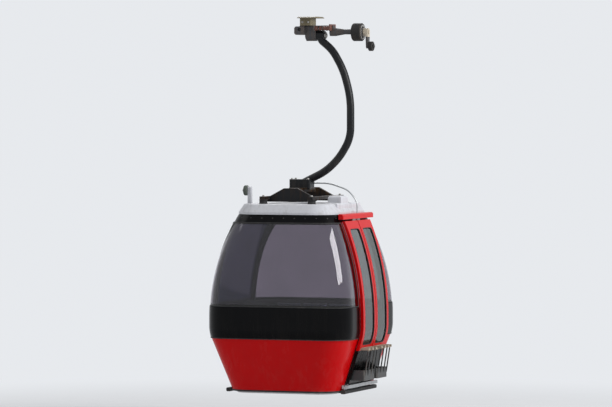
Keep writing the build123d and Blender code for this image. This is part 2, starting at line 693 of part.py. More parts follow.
def make_hanger():
    """Bowed tube from the grip's pin down to a foot block over the middle of the roof."""
    points = [(head_middle, 0, pin_z), (head_middle, 0, pin_z - HEAD_RADIUS)]
    points += [(x, 0, -drop) for x, drop in BOW_TOP]
    points += [(x, 0, foot_middle + rise) for x, rise in BOW_FOOT]
    tube = round_bar(smooth_path(points + [(0, 0, foot_middle)]), TUBE_RADIUS)
    foot = block(around(0, FOOT_LENGTH), around(0, FOOT_WIDTH), (frame_top, frame_top + FOOT_HEIGHT))
    foot = fillet(foot.edges().filter_by(Axis.Z), FOOT_CORNER)
    arm = tube + foot + rod_x(head_start, head_end, 0, pin_z, HEAD_RADIUS)
    pieces["hanger_arm"] = arm - rod_x(0, far, 0, pin_z, PIN_RADIUS + RUNNING_FIT)


def make_suspension():
    """Welded frame on rubber mounts: two base rails, two arched plates and a top beam."""
    half_x, half_y = MOUNT_SPACING_X / 2, FRAME_RAIL_LENGTH / 2 - RAIL_PAST_MOUNT - MOUNT_RADIUS
    frame = block(around(0, TOP_BEAM), around(0, ARCH_SPACING + ARCH_THICKNESS),
                  (frame_top - TOP_BEAM_HEIGHT, frame_top))
    frame += block(around(0, FOOT_LENGTH), around(0, FOOT_WIDTH), (frame_top - FRAME_RAIL / 3, frame_top))
    base, crown = half_x + FRAME_RAIL / 2, ARCH_TOP / 2
    apron, toe = frame_base - ARCH_APRON, base - ARCH_FOOT
    arch = Polyline((-base, frame_base), (-crown, frame_top), (crown, frame_top), (base, frame_base),
                    (toe, apron), (-toe, apron), (-base, frame_base))
    plate = extrude(Plane.XZ * make_face(arch), amount=ARCH_THICKNESS / 2, both=True)
    for side in (-1, 1):
        frame += block(around(side * half_x, FRAME_RAIL), around(0, FRAME_RAIL_LENGTH),
                       (frame_base, frame_base + FRAME_RAIL_HEIGHT))
        frame += Pos(0, side * ARCH_SPACING / 2, 0) * plate
    pieces["suspension_frame"] = frame
    mount = Pos(0, 0, frame_base - MOUNT_HEIGHT / 2) * Cylinder(MOUNT_RADIUS, MOUNT_HEIGHT)
    pieces["rubber_mounts"] = group(*[Pos(x, y, 0) * mount for x in (-half_x, half_x) for y in (-half_y, half_y)])


# Door drive and guide roller on the roof

def make_door_drive():
    """Housing along the roof's door side with a raised drum cover, and the rod from the hanger's foot."""
    x = (DRIVE_INNER, DRIVE_OUTER)
    z = (level(header_top), level(cabin_height + DRIVE_RISE))
    cover = block(x, around(0, DRIVE_LENGTH), z)
    cover = fillet(cover.edges().group_by(Axis.Z)[-1], DRIVE_EDGE)
    drum = block((x[0] + 10, x[1] - 10), around(-DRUM_LENGTH / 2, DRUM_LENGTH), (z[0], z[1] + DRUM_RISE))
    cover += fillet(drum.edges().group_by(Axis.Z)[-1], DRIVE_EDGE)
    pieces["door_drive_cover"] = cover - roof_outside

    rod_z, start, end = foot_middle + 5, FOOT_LENGTH / 2, track_x - 5
    reach = end - start
    points = [(start, rod_z), (start + reach * 0.36, rod_z), (start + reach * 0.8, rod_z - 80),
              (end, rod_z - 215), (end, level(track_top))]
    pieces["door_control_rod"] = round_bar(smooth_path([(x, ROD_PLACE, z) for x, z in points]), ROD_RADIUS)


def make_roof_roller():
    """Pale post at the roof's closed side with a roller on a pin."""
    x, y = POST_PLACE_X, POST_PLACE_Y
    top = level(cabin_height + POST_RISE)
    post = block(around(x, POST_THICKNESS), around(y, POST_WIDTH), (level(header_top), top)) - roof_outside
    post = fillet(post.edges().filter_by(Axis.X).group_by(Axis.Z)[-1], POST_WIDTH * 0.4)
    roller_z = top - ROOF_ROLLER_DROP
    face = x - POST_THICKNESS / 2 - MOVING_CLEARANCE
    back = face - ROOF_ROLLER_WIDTH
    post += rod_x(x, back - MOVING_CLEARANCE, y, roller_z, ROOF_PIN_RADIUS)
    post += rod_x(back - MOVING_CLEARANCE, back - MOVING_CLEARANCE - 10, y, roller_z, ROOF_PIN_RADIUS + 9)
    pieces["roof_roller_post"] = post
    bore, rim = ROOF_PIN_RADIUS + RUNNING_FIT, ROOF_ROLLER_RADIUS
    pieces["roof_roller"] = turned_x(y, roller_z, [
        (back, bore), (back, rim - 5), (back + 5, rim), (face - 5, rim), (face, rim - 5), (face, bore)])


make_body_panels()
make_posts()
make_windows()
make_roof_and_floor()
make_bumper_rails()
make_doors()
make_benches()
make_grip_body()
make_jaw_and_springs()
make_pin_and_lever()
make_running_wheel()
make_hanger()
make_suspension()
make_door_drive()
make_roof_roller()

os.makedirs("parts", exist_ok=True)
for node, shape in pieces.items():
    export_step(shape, "parts/" + node + ".step")
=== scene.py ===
import json
import math

import bmesh
import bpy
import numpy as np
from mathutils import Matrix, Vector


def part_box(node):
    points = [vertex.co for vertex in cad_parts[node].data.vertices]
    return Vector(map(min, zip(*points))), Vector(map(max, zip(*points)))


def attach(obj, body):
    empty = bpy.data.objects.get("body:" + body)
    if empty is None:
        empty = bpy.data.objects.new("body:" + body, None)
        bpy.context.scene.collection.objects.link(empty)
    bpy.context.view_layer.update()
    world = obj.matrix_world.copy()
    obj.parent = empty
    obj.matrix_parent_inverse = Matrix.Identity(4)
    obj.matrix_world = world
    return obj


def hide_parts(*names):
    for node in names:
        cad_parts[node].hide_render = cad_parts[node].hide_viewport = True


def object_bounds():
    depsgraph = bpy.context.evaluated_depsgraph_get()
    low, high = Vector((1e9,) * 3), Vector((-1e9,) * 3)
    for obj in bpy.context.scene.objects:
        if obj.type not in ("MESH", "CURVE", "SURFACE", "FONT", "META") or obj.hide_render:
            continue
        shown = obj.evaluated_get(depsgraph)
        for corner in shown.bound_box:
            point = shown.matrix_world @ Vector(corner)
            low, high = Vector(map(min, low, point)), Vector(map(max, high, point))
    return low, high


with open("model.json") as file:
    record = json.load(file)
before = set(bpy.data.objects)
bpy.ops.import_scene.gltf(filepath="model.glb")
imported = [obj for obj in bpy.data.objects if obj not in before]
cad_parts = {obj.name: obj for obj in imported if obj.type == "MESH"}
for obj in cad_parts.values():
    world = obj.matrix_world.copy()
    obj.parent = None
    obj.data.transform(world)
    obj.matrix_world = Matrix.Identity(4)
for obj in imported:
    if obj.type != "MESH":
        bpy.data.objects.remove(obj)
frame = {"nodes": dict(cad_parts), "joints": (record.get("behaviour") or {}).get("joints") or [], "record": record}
cad_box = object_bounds()
nodes = frame["nodes"]
places_of_joints = {joint["name"]: joint.get("pos_m") for joint in frame["joints"]}

lowest, highest = (Vector(corner) for corner in cad_box)
middle = (lowest + highest) / 2
BOTTOM = lowest.z

# Camera: the photograph's viewing angle, from far away, framed on the whole hanging cabin
VIEW_AZIMUTH = 20
VIEW_ELEVATION = 1.5
VIEW_DISTANCE = 49
VIEW_WIDTH = 7.2
SENSOR_WIDTH = 36

# Stage
FLOOR_GAP = 0.45
FLOOR_RADIUS = 60
FLOOR_STEPS = 96
FADE_START, FADE_END = 2, 9
BACKGROUND = (0.80, 0.82, 0.85, 1)
FLOOR_COLOUR = (0.74, 0.75, 0.77, 1)
FLOOR_GRAIN = 0.97
AMBIENT = 0.35

# The cabin's form, in metres, as in the CAD source: half width and half length at three levels, heights above
# the cabin's lowest point, radii, places along the cabin, and how far waist band and door leaves stand out
WAIST, FOOT, HEAD = (0.875, 0.975), (0.655, 0.755), (0.605, 0.705)
BAND_BASE, KNEE, CURVE = 0.640, 0.700, 0.880
SILL, WINDOW_HEAD, TOP = 1.010, 1.990, 2.080
KNEE_RADIUS, CORNER_RADIUS = 0.500, 0.290
DOOR_POST_END, SIDE_POST_END, SIDE_WINDOW_HALF = 0.466, 0.660, 0.600
BAND_PROUD, LEAF_OUT = 0.008, 0.050

# Colours that several finishes share
RED, BLACK = (0.56, 0.0005, 0.002), (0.0015, 0.0015, 0.002)
LINING, LINING_ROUGHNESS = (0.060, 0.062, 0.066), 0.6
PRINT = (0.004, 0.004, 0.005)
BARE_STEEL, RUST = (0.28, 0.265, 0.24), (0.13, 0.060, 0.026)

# Levels of dirt, which is full at the first and down to a quarter at the second
SKIRT_UP = (BOTTOM, BOTTOM + 0.7)
FLOOR_UP = (BOTTOM, BOTTOM + 1.0)
SILL_RAIL_UP = (BOTTOM, BOTTOM + 0.4)
RACKS_UP = (BOTTOM, BOTTOM + 0.8)
WHOLE_HEIGHT = (-4.4, 0.3)
ROOF_UP = (-2.25, -1.95)
ROOF_ROLLER_UP = (-2.2, -1.8)
FRAME_DOWN = (BOTTOM + 2.40, BOTTOM + 2.24)
HANGER_UP = (-2.3, 0.2)
WHEELS_UP = (-0.4, 0.4)
GRIP_UP = (-0.3, 0.4)

# Heights above the cabin's lowest point at which a finish of two colours changes, and half the change's width
DOOR_CHANGE, RACK_CHANGE, LEVER_CHANGE = 0.500, 0.495, 4.150
CHANGE_WIDTH = 0.002

# Printed border of the panes: its width at the sill and the upright edges, and at the head
BORDER, HEAD_BORDER = 0.030, 0.022
PANE_LEVELS = (BOTTOM + SILL + BORDER, BOTTOM + WINDOW_HEAD - HEAD_BORDER)
END_PANE = (*PANE_LEVELS, DOOR_POST_END + BORDER, SIDE_POST_END + BORDER)
SIDE_PANE = (*PANE_LEVELS, 0.0, 0.0)

# Floor studs to the metre, and the radii between which a stud falls off, in distances between studs
STUDS = 28
STUD_TOP, STUD_FOOT = 0.26, 0.36


# Shader nodes

class Graph:
    """Adds nodes to one shader tree. Inputs are numbers, colours or nodes' sockets, by name or index."""

    COLOUR_INPUTS, COLOUR_OUTPUT = (6, 7), 2

    def __init__(self, tree):
        self.tree = tree

    def link(self, output, socket):
        self.tree.links.new(output, socket)

    def add(self, kind, inputs=None, **settings):
        node = self.tree.nodes.new("ShaderNode" + kind)
        for name, value in settings.items():
            setattr(node, name, value)
        for name, value in (inputs or {}).items():
            if isinstance(value, bpy.types.NodeSocket):
                self.link(value, node.inputs[name])
            else:
                node.inputs[name].default_value = value
        return node

    def math(self, operation, a, b=0.0, clamp=False):
        return self.add("Math", {0: a, 1: b}, operation=operation, use_clamp=clamp).outputs[0]

    def ramp(self, value, low, high, start=0.0, end=1.0):
        """Value carried smoothly from the range low to high onto start to end."""
        return self.add("MapRange", {"Value": value, "From Min": low, "From Max": high, "To Min": start,
                                     "To Max": end}, interpolation_type="SMOOTHSTEP").outputs[0]

    def mix(self, factor, a, b):
        """Two colours, mixed by a factor."""
        inputs = {0: factor, **dict(zip(self.COLOUR_INPUTS, (a, b)))}
        return self.add("Mix", inputs, data_type="RGBA").outputs[self.COLOUR_OUTPUT]

    def between(self, factor, a, b):
        """Two numbers, mixed by a factor."""
        return self.add("Mix", {0: factor, 2: a, 3: b}).outputs[0]

    def place(self, scale=(1, 1, 1)):
        """Object coordinates, stretched by a scale per axis."""
        where = self.add("TexCoord").outputs["Object"]
        return self.add("Mapping", {"Vector": where, "Scale": scale}).outputs[0]

    def coordinates(self):
        """The object's own X, Y and Z."""
        return self.add("SeparateXYZ", {0: self.place()}).outputs

    def noise(self, where, scale, detail, roughness=0.55):
        return self.add("TexNoise", {"Vector": where, "Scale": scale, "Detail": detail,
                                     "Roughness": roughness}).outputs[0]


def new_group(name, inputs, outputs):
    """Empty node group with named inputs (kind, default) and outputs (kind)."""
    tree = bpy.data.node_groups.new(name, "ShaderNodeTree")
    for label, (kind, default) in inputs.items():
        socket = tree.interface.new_socket(label, in_out="INPUT", socket_type="NodeSocket" + kind)
        socket.default_value = default
    for label, kind in outputs.items():
        tree.interface.new_socket(label, in_out="OUTPUT", socket_type="NodeSocket" + kind)
    return Graph(tree), tree.nodes.new("NodeGroupInput"), tree.nodes.new("NodeGroupOutput")


def make_weather_group():
    """Colour and roughness of a finish with soft blotches, run-off streaks and dust that settles low down."""
    blotch_lift, dirt_roughness, shade_roughness = 0.45, 0.45, 0.6
    graph, given, result = new_group(
        "weathering",
        {"Color": ("Color", (0.5, 0.5, 0.5, 1)), "Roughness": ("Float", 0.4),
         "Dirt Color": ("Color", (0.2, 0.18, 0.15, 1)), "Dirt": ("Float", 0.2), "Variation": ("Float", 0.1),
         "Low": ("Float", -4.3), "High": ("Float", -3.4)},
        {"Color": "Color", "Roughness": "Float", "Dirt Mask": "Float"})
    blotch = graph.noise(graph.place(), scale=3.5, detail=5)
    streak = graph.noise(graph.place(scale=(1, 1, 0.09)), scale=26, detail=4)
    fine = graph.noise(graph.place(), scale=60, detail=3)
    height = graph.coordinates()["Z"]
    depth = graph.add("MapRange", {
        "Value": height, "From Min": given.outputs["Low"], "From Max": given.outputs["High"],
        "To Min": 1.0, "To Max": 0.25}).outputs[0]
    lifted = graph.math("ADD", blotch, blotch_lift)
    runs = graph.ramp(graph.math("MULTIPLY", streak, lifted), low=0.38, high=0.72)
    specks = graph.ramp(fine, low=0.5, high=0.75, end=0.35)
    mask = graph.math("MULTIPLY", graph.math("MULTIPLY", graph.math("ADD", runs, specks), depth),
                      given.outputs["Dirt"], clamp=True)
    shade = graph.math("MULTIPLY", graph.math("SUBTRACT", blotch, 0.5), given.outputs["Variation"])
    varied = graph.add("HueSaturation", {"Color": given.outputs["Color"],
                                         "Value": graph.math("ADD", shade, 1.0)}).outputs[0]
    colour = graph.mix(mask, varied, given.outputs["Dirt Color"])
    rough = graph.math("ADD", given.outputs["Roughness"], graph.math("MULTIPLY", mask, dirt_roughness))
    rough = graph.math("ADD", rough, graph.math("MULTIPLY", shade, shade_roughness), clamp=True)
    for label, value in (("Color", colour), ("Roughness", rough), ("Dirt Mask", mask)):
        graph.link(value, result.inputs[label])
    return graph.tree


def make_grain_group():
    """Bump height of two noises, one coarse and one fine, mixed."""
    graph, given, result = new_group(
        "grain",
        {"Coarse Scale": ("Float", 12.0), "Fine Scale": ("Float", 300.0), "Fine Share": ("Float", 0.5)},
        {"Height": "Float"})
    where = graph.place()
    coarse = graph.noise(where, given.outputs["Coarse Scale"], detail=3)
    fine = graph.noise(where, given.outputs["Fine Scale"], detail=2)
    graph.link(graph.between(given.outputs["Fine Share"], coarse, fine), result.inputs["Height"])
    return graph.tree


def make_wear_group():
    """Mask of worn edges: where the normal rounded over a small radius leaves the face's, broken by noise."""
    graph, given, result = new_group(
        "edge_wear", {"Radius": ("Float", 0.006), "Amount": ("Float", 0.5)}, {"Mask": "Float"})
    rounded = graph.add("Bevel", {"Radius": given.outputs["Radius"]}, samples=4).outputs[0]
    face = graph.add("NewGeometry").outputs["True Normal"]
    alike = graph.add("VectorMath", {0: rounded, 1: face}, operation="DOT_PRODUCT").outputs["Value"]
    edge = graph.ramp(alike, low=0.985, high=0.86)
    broken = graph.ramp(graph.noise(graph.place(), scale=38, detail=6, roughness=0.7), low=0.40, high=0.60)
    mask = graph.math("MULTIPLY", graph.math("MULTIPLY", edge, broken), given.outputs["Amount"], clamp=True)
    graph.link(mask, result.inputs["Mask"])
    return graph.tree


def make_lining_group():
    """Mask of the faces that look in at the cabin's middle axis, from the object's normals and places."""
    graph, given, result = new_group("inner_side", {"Reach": ("Float", 0.02)}, {"Mask": "Float"})
    flat = graph.place(scale=(1, 1, 0))
    toward = graph.add("VectorMath", {0: graph.add("TexCoord").outputs["Normal"], 1: flat},
                       operation="DOT_PRODUCT").outputs["Value"]
    inward = graph.math("LESS_THAN", toward, graph.math("MULTIPLY", given.outputs["Reach"], -1.0))
    graph.link(inward, result.inputs["Mask"])
    return graph.tree


def make_border_group():
    """Mask of a pane's dark printed border: near its sill and head, and near its two upright edges, which lie
    at one distance from the cabin's middle on the door side and another on the closed side."""
    graph, given, result = new_group(
        "pane_border",
        {"Low": ("Float", 0.0), "High": ("Float", 1.0), "Door Edge": ("Float", 0.0),
         "Closed Edge": ("Float", 0.0)},
        {"Mask": "Float"})
    x, y, z = graph.coordinates()
    low_part = graph.math("LESS_THAN", z, given.outputs["Low"])
    high_part = graph.math("GREATER_THAN", z, given.outputs["High"])
    on_door_side = graph.math("GREATER_THAN", x, 0.0)
    edge = graph.between(on_door_side, given.outputs["Closed Edge"], given.outputs["Door Edge"])
    beside = graph.math("LESS_THAN", graph.math("ABSOLUTE", y), edge)
    mask = graph.math("MAXIMUM", graph.math("MAXIMUM", low_part, high_part), beside)
    graph.link(mask, result.inputs["Mask"])
    return graph.tree


weather_group = make_weather_group()
grain_group = make_grain_group()
border_group = make_border_group()
lining_group = make_lining_group()
wear_group = make_wear_group()


# Finishes

def new_material(name, **settings):
    """Material with a Principled shader, whose plain inputs are given by name."""
    material = bpy.data.materials.new(name)
    material.use_nodes = True
    shader = material.node_tree.nodes["Principled BSDF"]
    for label, value in settings.items():
        shader.inputs[label.replace("_", " ")].default_value = value
    return material, Graph(material.node_tree), shader


def painted(name, colour, roughness, dirt, levels, dirt_colour=(0.20, 0.17, 0.14), variation=0.12,
            grain=(10, 260, 0.25), bump=(0.02, 0.002), below=None, lined=False, worn=None, **settings):
    """Painted or moulded surface: weathered colour, another colour below a height, worn edges with an amount
    and a bare colour, or a grey lining on the faces that look inwards. Its bump has a strength and a
    distance, and its grain a coarse scale, a fine scale and the fine one's share."""
    material, graph, shader = new_material(name, **settings)
    weather = graph.add("Group", {
        "Color": (*colour, 1), "Roughness": roughness, "Dirt Color": (*dirt_colour, 1), "Dirt": dirt,
        "Variation": variation, "Low": levels[0], "High": levels[1]}, node_tree=weather_group)
    if below:
        height, lower = below
        share = graph.ramp(graph.coordinates()["Z"], low=BOTTOM + height - CHANGE_WIDTH,
                           high=BOTTOM + height + CHANGE_WIDTH)
        graph.link(graph.mix(share, (*lower, 1), (*colour, 1)), weather.inputs["Color"])
    finish = {label: weather.outputs[label] for label in ("Color", "Roughness")}
    if worn:
        amount, bare = worn
        edge = graph.add("Group", {"Amount": amount}, node_tree=wear_group)
        finish["Color"] = graph.mix(edge.outputs["Mask"], finish["Color"], (*bare, 1))
    if lined:
        inner = graph.add("Group", node_tree=lining_group).outputs["Mask"]
        finish["Color"] = graph.mix(inner, finish["Color"], (*LINING, 1))
        finish["Roughness"] = graph.math("MAXIMUM", finish["Roughness"],
                                         graph.math("MULTIPLY", inner, LINING_ROUGHNESS))
    skin = graph.add("Group", dict(zip(("Coarse Scale", "Fine Scale", "Fine Share"), grain)),
                     node_tree=grain_group)
    strength, distance = bump
    relief = graph.add("Bump", {"Strength": strength, "Distance": distance, "Height": skin.outputs[0]})
    for label, value in (("Base Color", finish["Color"]), ("Roughness", finish["Roughness"]),
                         ("Normal", relief.outputs[0])):
        graph.link(value, shader.inputs[label])
    return material


def smoked_glass(name, tint, haze_tint, border=None):
    """Smoked pane, with faint haze in its tint and perhaps a dark printed border, given by its limits. Lamps
    shine through it, so that the cabin's inside is lit: their light passes both faces of the pane, so each
    face takes the square root of the tint."""
    material, graph, shader = new_material(name, Transmission_Weight=1.0, IOR=1.45, Roughness=0.02)
    haze = graph.ramp(graph.noise(graph.place(), scale=4, detail=3), low=0.35, high=0.75)
    colour = graph.mix(haze, (*tint, 1), (*haze_tint, 1))
    if border:
        edge = graph.add("Group", dict(zip(("Low", "High", "Door Edge", "Closed Edge"), border)),
                         node_tree=border_group)
        colour = graph.mix(edge.outputs["Mask"], colour, (*PRINT, 1))
    graph.link(colour, shader.inputs["Base Color"])
    clear = graph.add("BsdfTransparent", {"Color": (*[math.sqrt(part) for part in tint], 1)})
    lit = graph.add("MixShader", {0: graph.add("LightPath").outputs["Is Shadow Ray"], 1: shader.outputs[0],
                                  2: clear.outputs[0]})
    graph.link(lit.outputs[0], graph.tree.nodes["Material Output"].inputs["Surface"])
    return material


def seat_fabric():
    """Woven cloth: two crossed sets of fine waves for warp and weft, flecked with a paler yarn."""
    dark_yarn, navy_yarn = (0.020, 0.025, 0.045, 1), (0.055, 0.065, 0.105, 1)
    pale_yarn, weave_lift, fleck_share = (0.20, 0.22, 0.28, 1), 0.35, 0.6
    material, graph, shader = new_material("navy_seat_weave", Roughness=0.9, Sheen_Weight=0.35,
                                           Sheen_Roughness=0.5)
    where = graph.place()
    waves = [graph.add("TexWave", {"Vector": where, "Scale": 90.0, "Distortion": 1.2, "Detail": 1.0},
                       bands_direction=way).outputs["Fac"] for way in ("X", "Y", "Z")]
    weave = graph.math("MULTIPLY", graph.math("MAXIMUM", waves[0], waves[1]),
                       graph.math("ADD", waves[2], weave_lift))
    fleck = graph.ramp(graph.noise(where, scale=420, detail=2), low=0.58, high=0.7)
    cloth = graph.mix(weave, dark_yarn, navy_yarn)
    flecked = graph.mix(graph.math("MULTIPLY", fleck, fleck_share), cloth, pale_yarn)
    graph.link(flecked, shader.inputs["Base Color"])
    relief = graph.add("Bump", {"Strength": 0.4, "Distance": 0.0015, "Height": weave}).outputs[0]
    graph.link(relief, shader.inputs["Normal"])
    return material


def studded_floor():
    """Rubber floor with rows of round studs: a bump that rises near the middle of each cell of a grid."""
    rubber, trodden, stud_top = (0.045, 0.047, 0.05, 1), (0.10, 0.095, 0.085, 1), (0.12, 0.12, 0.12, 1)
    stud_share, upward = 0.35, 0.5
    material, graph, shader = new_material("studded_rubber_floor", Roughness=0.75, Specular_IOR_Level=0.3)
    where = graph.place(scale=(STUDS, STUDS, 0))
    cell = graph.add("VectorMath", {0: where}, operation="FRACTION").outputs[0]
    off = graph.add("VectorMath", {0: cell, 1: (0.5, 0.5, 0)}, operation="DISTANCE").outputs["Value"]
    normal = graph.add("SeparateXYZ", {0: graph.add("TexCoord").outputs["Normal"]})
    on_top = graph.math("GREATER_THAN", normal.outputs["Z"], upward)
    stud = graph.math("MULTIPLY", graph.ramp(off, low=STUD_TOP, high=STUD_FOOT, start=1.0, end=0.0), on_top)
    wear = graph.ramp(graph.noise(graph.place(), scale=5, detail=5), low=0.4, high=0.7)
    base = graph.mix(wear, rubber, trodden)
    studded = graph.mix(graph.math("MULTIPLY", stud, stud_share), base, stud_top)
    graph.link(studded, shader.inputs["Base Color"])
    relief = graph.add("Bump", {"Strength": 0.8, "Distance": 0.002, "Height": stud}).outputs[0]
    graph.link(relief, shader.inputs["Normal"])
    return material


ENAMEL = {"colour": RED, "roughness": 0.26, "dirt": 0.05, "levels": SKIRT_UP, "lined": True,
          "Coat_Weight": 0.08, "Coat_Roughness": 0.06, "Specular_IOR_Level": 0.08}

materials = {
    "red_paint": painted("deep_red_enamel", **ENAMEL),
    "black_gloss": painted("gloss_black_band", BLACK, roughness=0.20, dirt=0.03, levels=FLOOR_UP, lined=True,
                           Coat_Weight=0.05, Coat_Roughness=0.05, Specular_IOR_Level=0.07),
    "roof_paint": painted("pale_roof_laminate", (0.58, 0.59, 0.63), roughness=0.42, dirt=0.40, levels=ROOF_UP,
                          dirt_colour=(0.26, 0.25, 0.22), variation=0.10, grain=(16, 420, 0.6),
                          bump=(0.10, 0.002)),
    "dark_steel": painted("black_hanger_paint", (0.006, 0.007, 0.009), roughness=0.34, dirt=0.25,
                          levels=HANGER_UP, dirt_colour=(0.10, 0.085, 0.07), variation=0.25,
                          grain=(30, 300, 0.5), bump=(0.12, 0.002), worn=(0.5, BARE_STEEL),
                          Specular_IOR_Level=0.2),
    "grip_casting": painted("grip_casting_paint", (0.035, 0.036, 0.042), roughness=0.50, dirt=0.5,
                            levels=GRIP_UP, dirt_colour=(0.13, 0.085, 0.05), variation=0.35,
                            grain=(40, 420, 0.6), bump=(0.35, 0.002), worn=(0.7, BARE_STEEL)),
    "olive_paint": painted("olive_shoe_paint", (0.15, 0.125, 0.07), roughness=0.55, dirt=0.5, levels=GRIP_UP,
                           dirt_colour=(0.08, 0.06, 0.04), variation=0.35, grain=(40, 420, 0.6),
                           bump=(0.35, 0.002), worn=(0.7, BARE_STEEL)),
    "bronze_parts": painted("red_brown_springs", (0.13, 0.040, 0.026), roughness=0.42, dirt=0.4,
                            levels=GRIP_UP, dirt_colour=(0.07, 0.05, 0.035), variation=0.30,
                            grain=(40, 380, 0.6), bump=(0.25, 0.002), worn=(0.6, BARE_STEEL)),
    "bright_steel": painted("turned_steel", (0.36, 0.35, 0.335), roughness=0.50, dirt=0.35, levels=GRIP_UP,
                            dirt_colour=(0.16, 0.13, 0.10), variation=0.20, grain=(60, 700, 0.7),
                            bump=(0.10, 0.001), Metallic=1.0),
    "aluminium_frame": painted("anodised_aluminium", (0.45, 0.46, 0.47), roughness=0.38, dirt=0.3,
                               levels=SILL_RAIL_UP, dirt_colour=(0.16, 0.14, 0.12), variation=0.10,
                               grain=(50, 800, 0.8), bump=(0.06, 0.001), Metallic=1.0),
    "black_rubber": painted("black_rubber", (0.016, 0.016, 0.017), roughness=0.62, dirt=0.30,
                            levels=WHOLE_HEIGHT, dirt_colour=(0.12, 0.11, 0.10), variation=0.20,
                            grain=(60, 700, 0.7), bump=(0.20, 0.001), Specular_IOR_Level=0.3),
    "wheel_lining": painted("roller_lining", (0.014, 0.013, 0.013), roughness=0.70, dirt=0.35,
                            levels=WHEELS_UP, dirt_colour=(0.14, 0.11, 0.08), variation=0.30,
                            grain=(70, 500, 0.6), bump=(0.35, 0.001), Specular_IOR_Level=0.3),
    "interior_plastic": painted("grey_moulding", (0.20, 0.205, 0.21), roughness=0.55, dirt=0.20,
                                levels=FLOOR_UP, dirt_colour=(0.12, 0.11, 0.10), variation=0.10,
                                grain=(90, 900, 0.8), bump=(0.15, 0.001)),
    "tinted_pane": smoked_glass("smoked_pane", (0.355, 0.325, 0.375), (0.33, 0.305, 0.35), END_PANE),
    "seat_cloth": seat_fabric(),
}
door_enamel = painted("door_enamel", below=(DOOR_CHANGE, BLACK), **ENAMEL)
rack_paint = painted("rack_two_tone", (0.38, 0.32, 0.24), roughness=0.42, dirt=0.3, levels=RACKS_UP,
                     variation=0.15, grain=(40, 500, 0.6), bump=(0.12, 0.001),
                     below=(RACK_CHANGE, (0.030, 0.032, 0.034)), worn=(0.6, BARE_STEEL))
own_finish = {
    "floor_plate": studded_floor(),
    "roof_roller": painted("grey_green_roller", (0.085, 0.10, 0.085), roughness=0.65, dirt=0.4,
                           levels=ROOF_ROLLER_UP, dirt_colour=(0.05, 0.045, 0.04), variation=0.25,
                           grain=(70, 500, 0.6), bump=(0.3, 0.001), Specular_IOR_Level=0.3),
    "clamp_lever": painted("lever_two_tone", (0.46, 0.40, 0.31), roughness=0.42, dirt=0.3, levels=GRIP_UP,
                           dirt_colour=(0.12, 0.09, 0.06), variation=0.15, grain=(40, 500, 0.6),
                           bump=(0.12, 0.001), below=(LEVER_CHANGE, (0.025, 0.025, 0.027)),
                           worn=(0.6, BARE_STEEL)),
    "suspension_frame": painted("frame_black_with_rust", (0.007, 0.008, 0.010), roughness=0.38, dirt=0.9,
                                levels=FRAME_DOWN, dirt_colour=(0.075, 0.038, 0.014), variation=0.25,
                                grain=(30, 300, 0.5), bump=(0.15, 0.002), worn=(0.6, RUST),
                                Specular_IOR_Level=0.2),
    # The closed side's pane has a far darker tint than the end panes: painted shade, standing in for the dark view
    # seen through the cabin
    "side_window": smoked_glass("side_pane_painted_dark", (0.040, 0.042, 0.080), (0.030, 0.032, 0.060), SIDE_PANE),
}
for end in ("front", "rear"):
    own_finish["door_frame_" + end] = door_enamel
    own_finish["ski_rack_" + end] = rack_paint
    own_finish["door_glass_" + end] = smoked_glass("door_pane_" + end, (0.26, 0.32, 0.29), (0.24, 0.28, 0.27))

for part in frame["record"]["subparts"]:
    finish = own_finish.get(part["node"], materials.get(part["material_slot"]))
    for mesh_slot in nodes[part["node"]].material_slots:
        mesh_slot.material = finish


# Lines on the cabin's surface: each is a pair of arrays, the points and the normals there

# Rounds of halving that find a height within a corner, and a share of its turn
HALVINGS, SHARE_HALVINGS = 36, 24


def half_size(height, axis, grow=0.0):
    """Half width (axis 0) or half length (axis 1) at each height: a leaning line, an arc of the knee's radius
    tangent to it, an upright line, then an arc whose radius carries it in to the header."""
    waist, foot, head = WAIST[axis], FOOT[axis], HEAD[axis]
    slope = (waist - foot) / KNEE
    angle = math.atan(slope)
    centre = KNEE + KNEE_RADIUS * math.tan(angle / 2)
    radius = ((TOP - CURVE) ** 2 + (waist - head) ** 2) / (2 * (waist - head))
    height = np.asarray(height, float)
    line = foot + slope * height + grow / math.cos(angle)
    bend = KNEE_RADIUS + grow
    knee = waist - KNEE_RADIUS + np.sqrt(np.maximum(bend ** 2 - (centre - height) ** 2, 0))
    arc = waist - radius + np.sqrt((radius + grow) ** 2 - np.maximum(height - CURVE, 0) ** 2)
    start = centre - bend * math.sin(angle)
    return np.where(height < start, line, np.where(height < centre, knee, arc))


def hull_slope(height, axis, grow=0.0):
    """Change of the half size with height, from two near heights."""
    step = 1e-3
    return (half_size(height + step, axis, grow) - half_size(height - step, axis, grow)) / (2 * step)


def unit(vectors):
    """Each vector over its own length, which is kept from being zero."""
    shortest = 1e-12
    return vectors / np.maximum(np.linalg.norm(vectors, axis=-1, keepdims=True), shortest)


def corner_normal(height, share):
    """Normal at a share of the turn from the side wall's normal (0) to the end wall's (1): the great-circle
    turn between the two, each of which leans by its wall's slope at the ball's height."""
    lean_side, lean_end = hull_slope(height, 0, -CORNER_RADIUS), hull_slope(height, 1, -CORNER_RADIUS)
    side = unit(np.stack([np.ones_like(height), 0 * height, -lean_side], axis=-1))
    end = unit(np.stack([0 * height, -np.ones_like(height), -lean_end], axis=-1))
    turn = np.arccos((side * end).sum(-1))
    from_side, from_end = np.sin((1 - share) * turn), np.sin(share * turn)
    return (from_side[..., None] * side + from_end[..., None] * end) / np.sin(turn)[..., None]


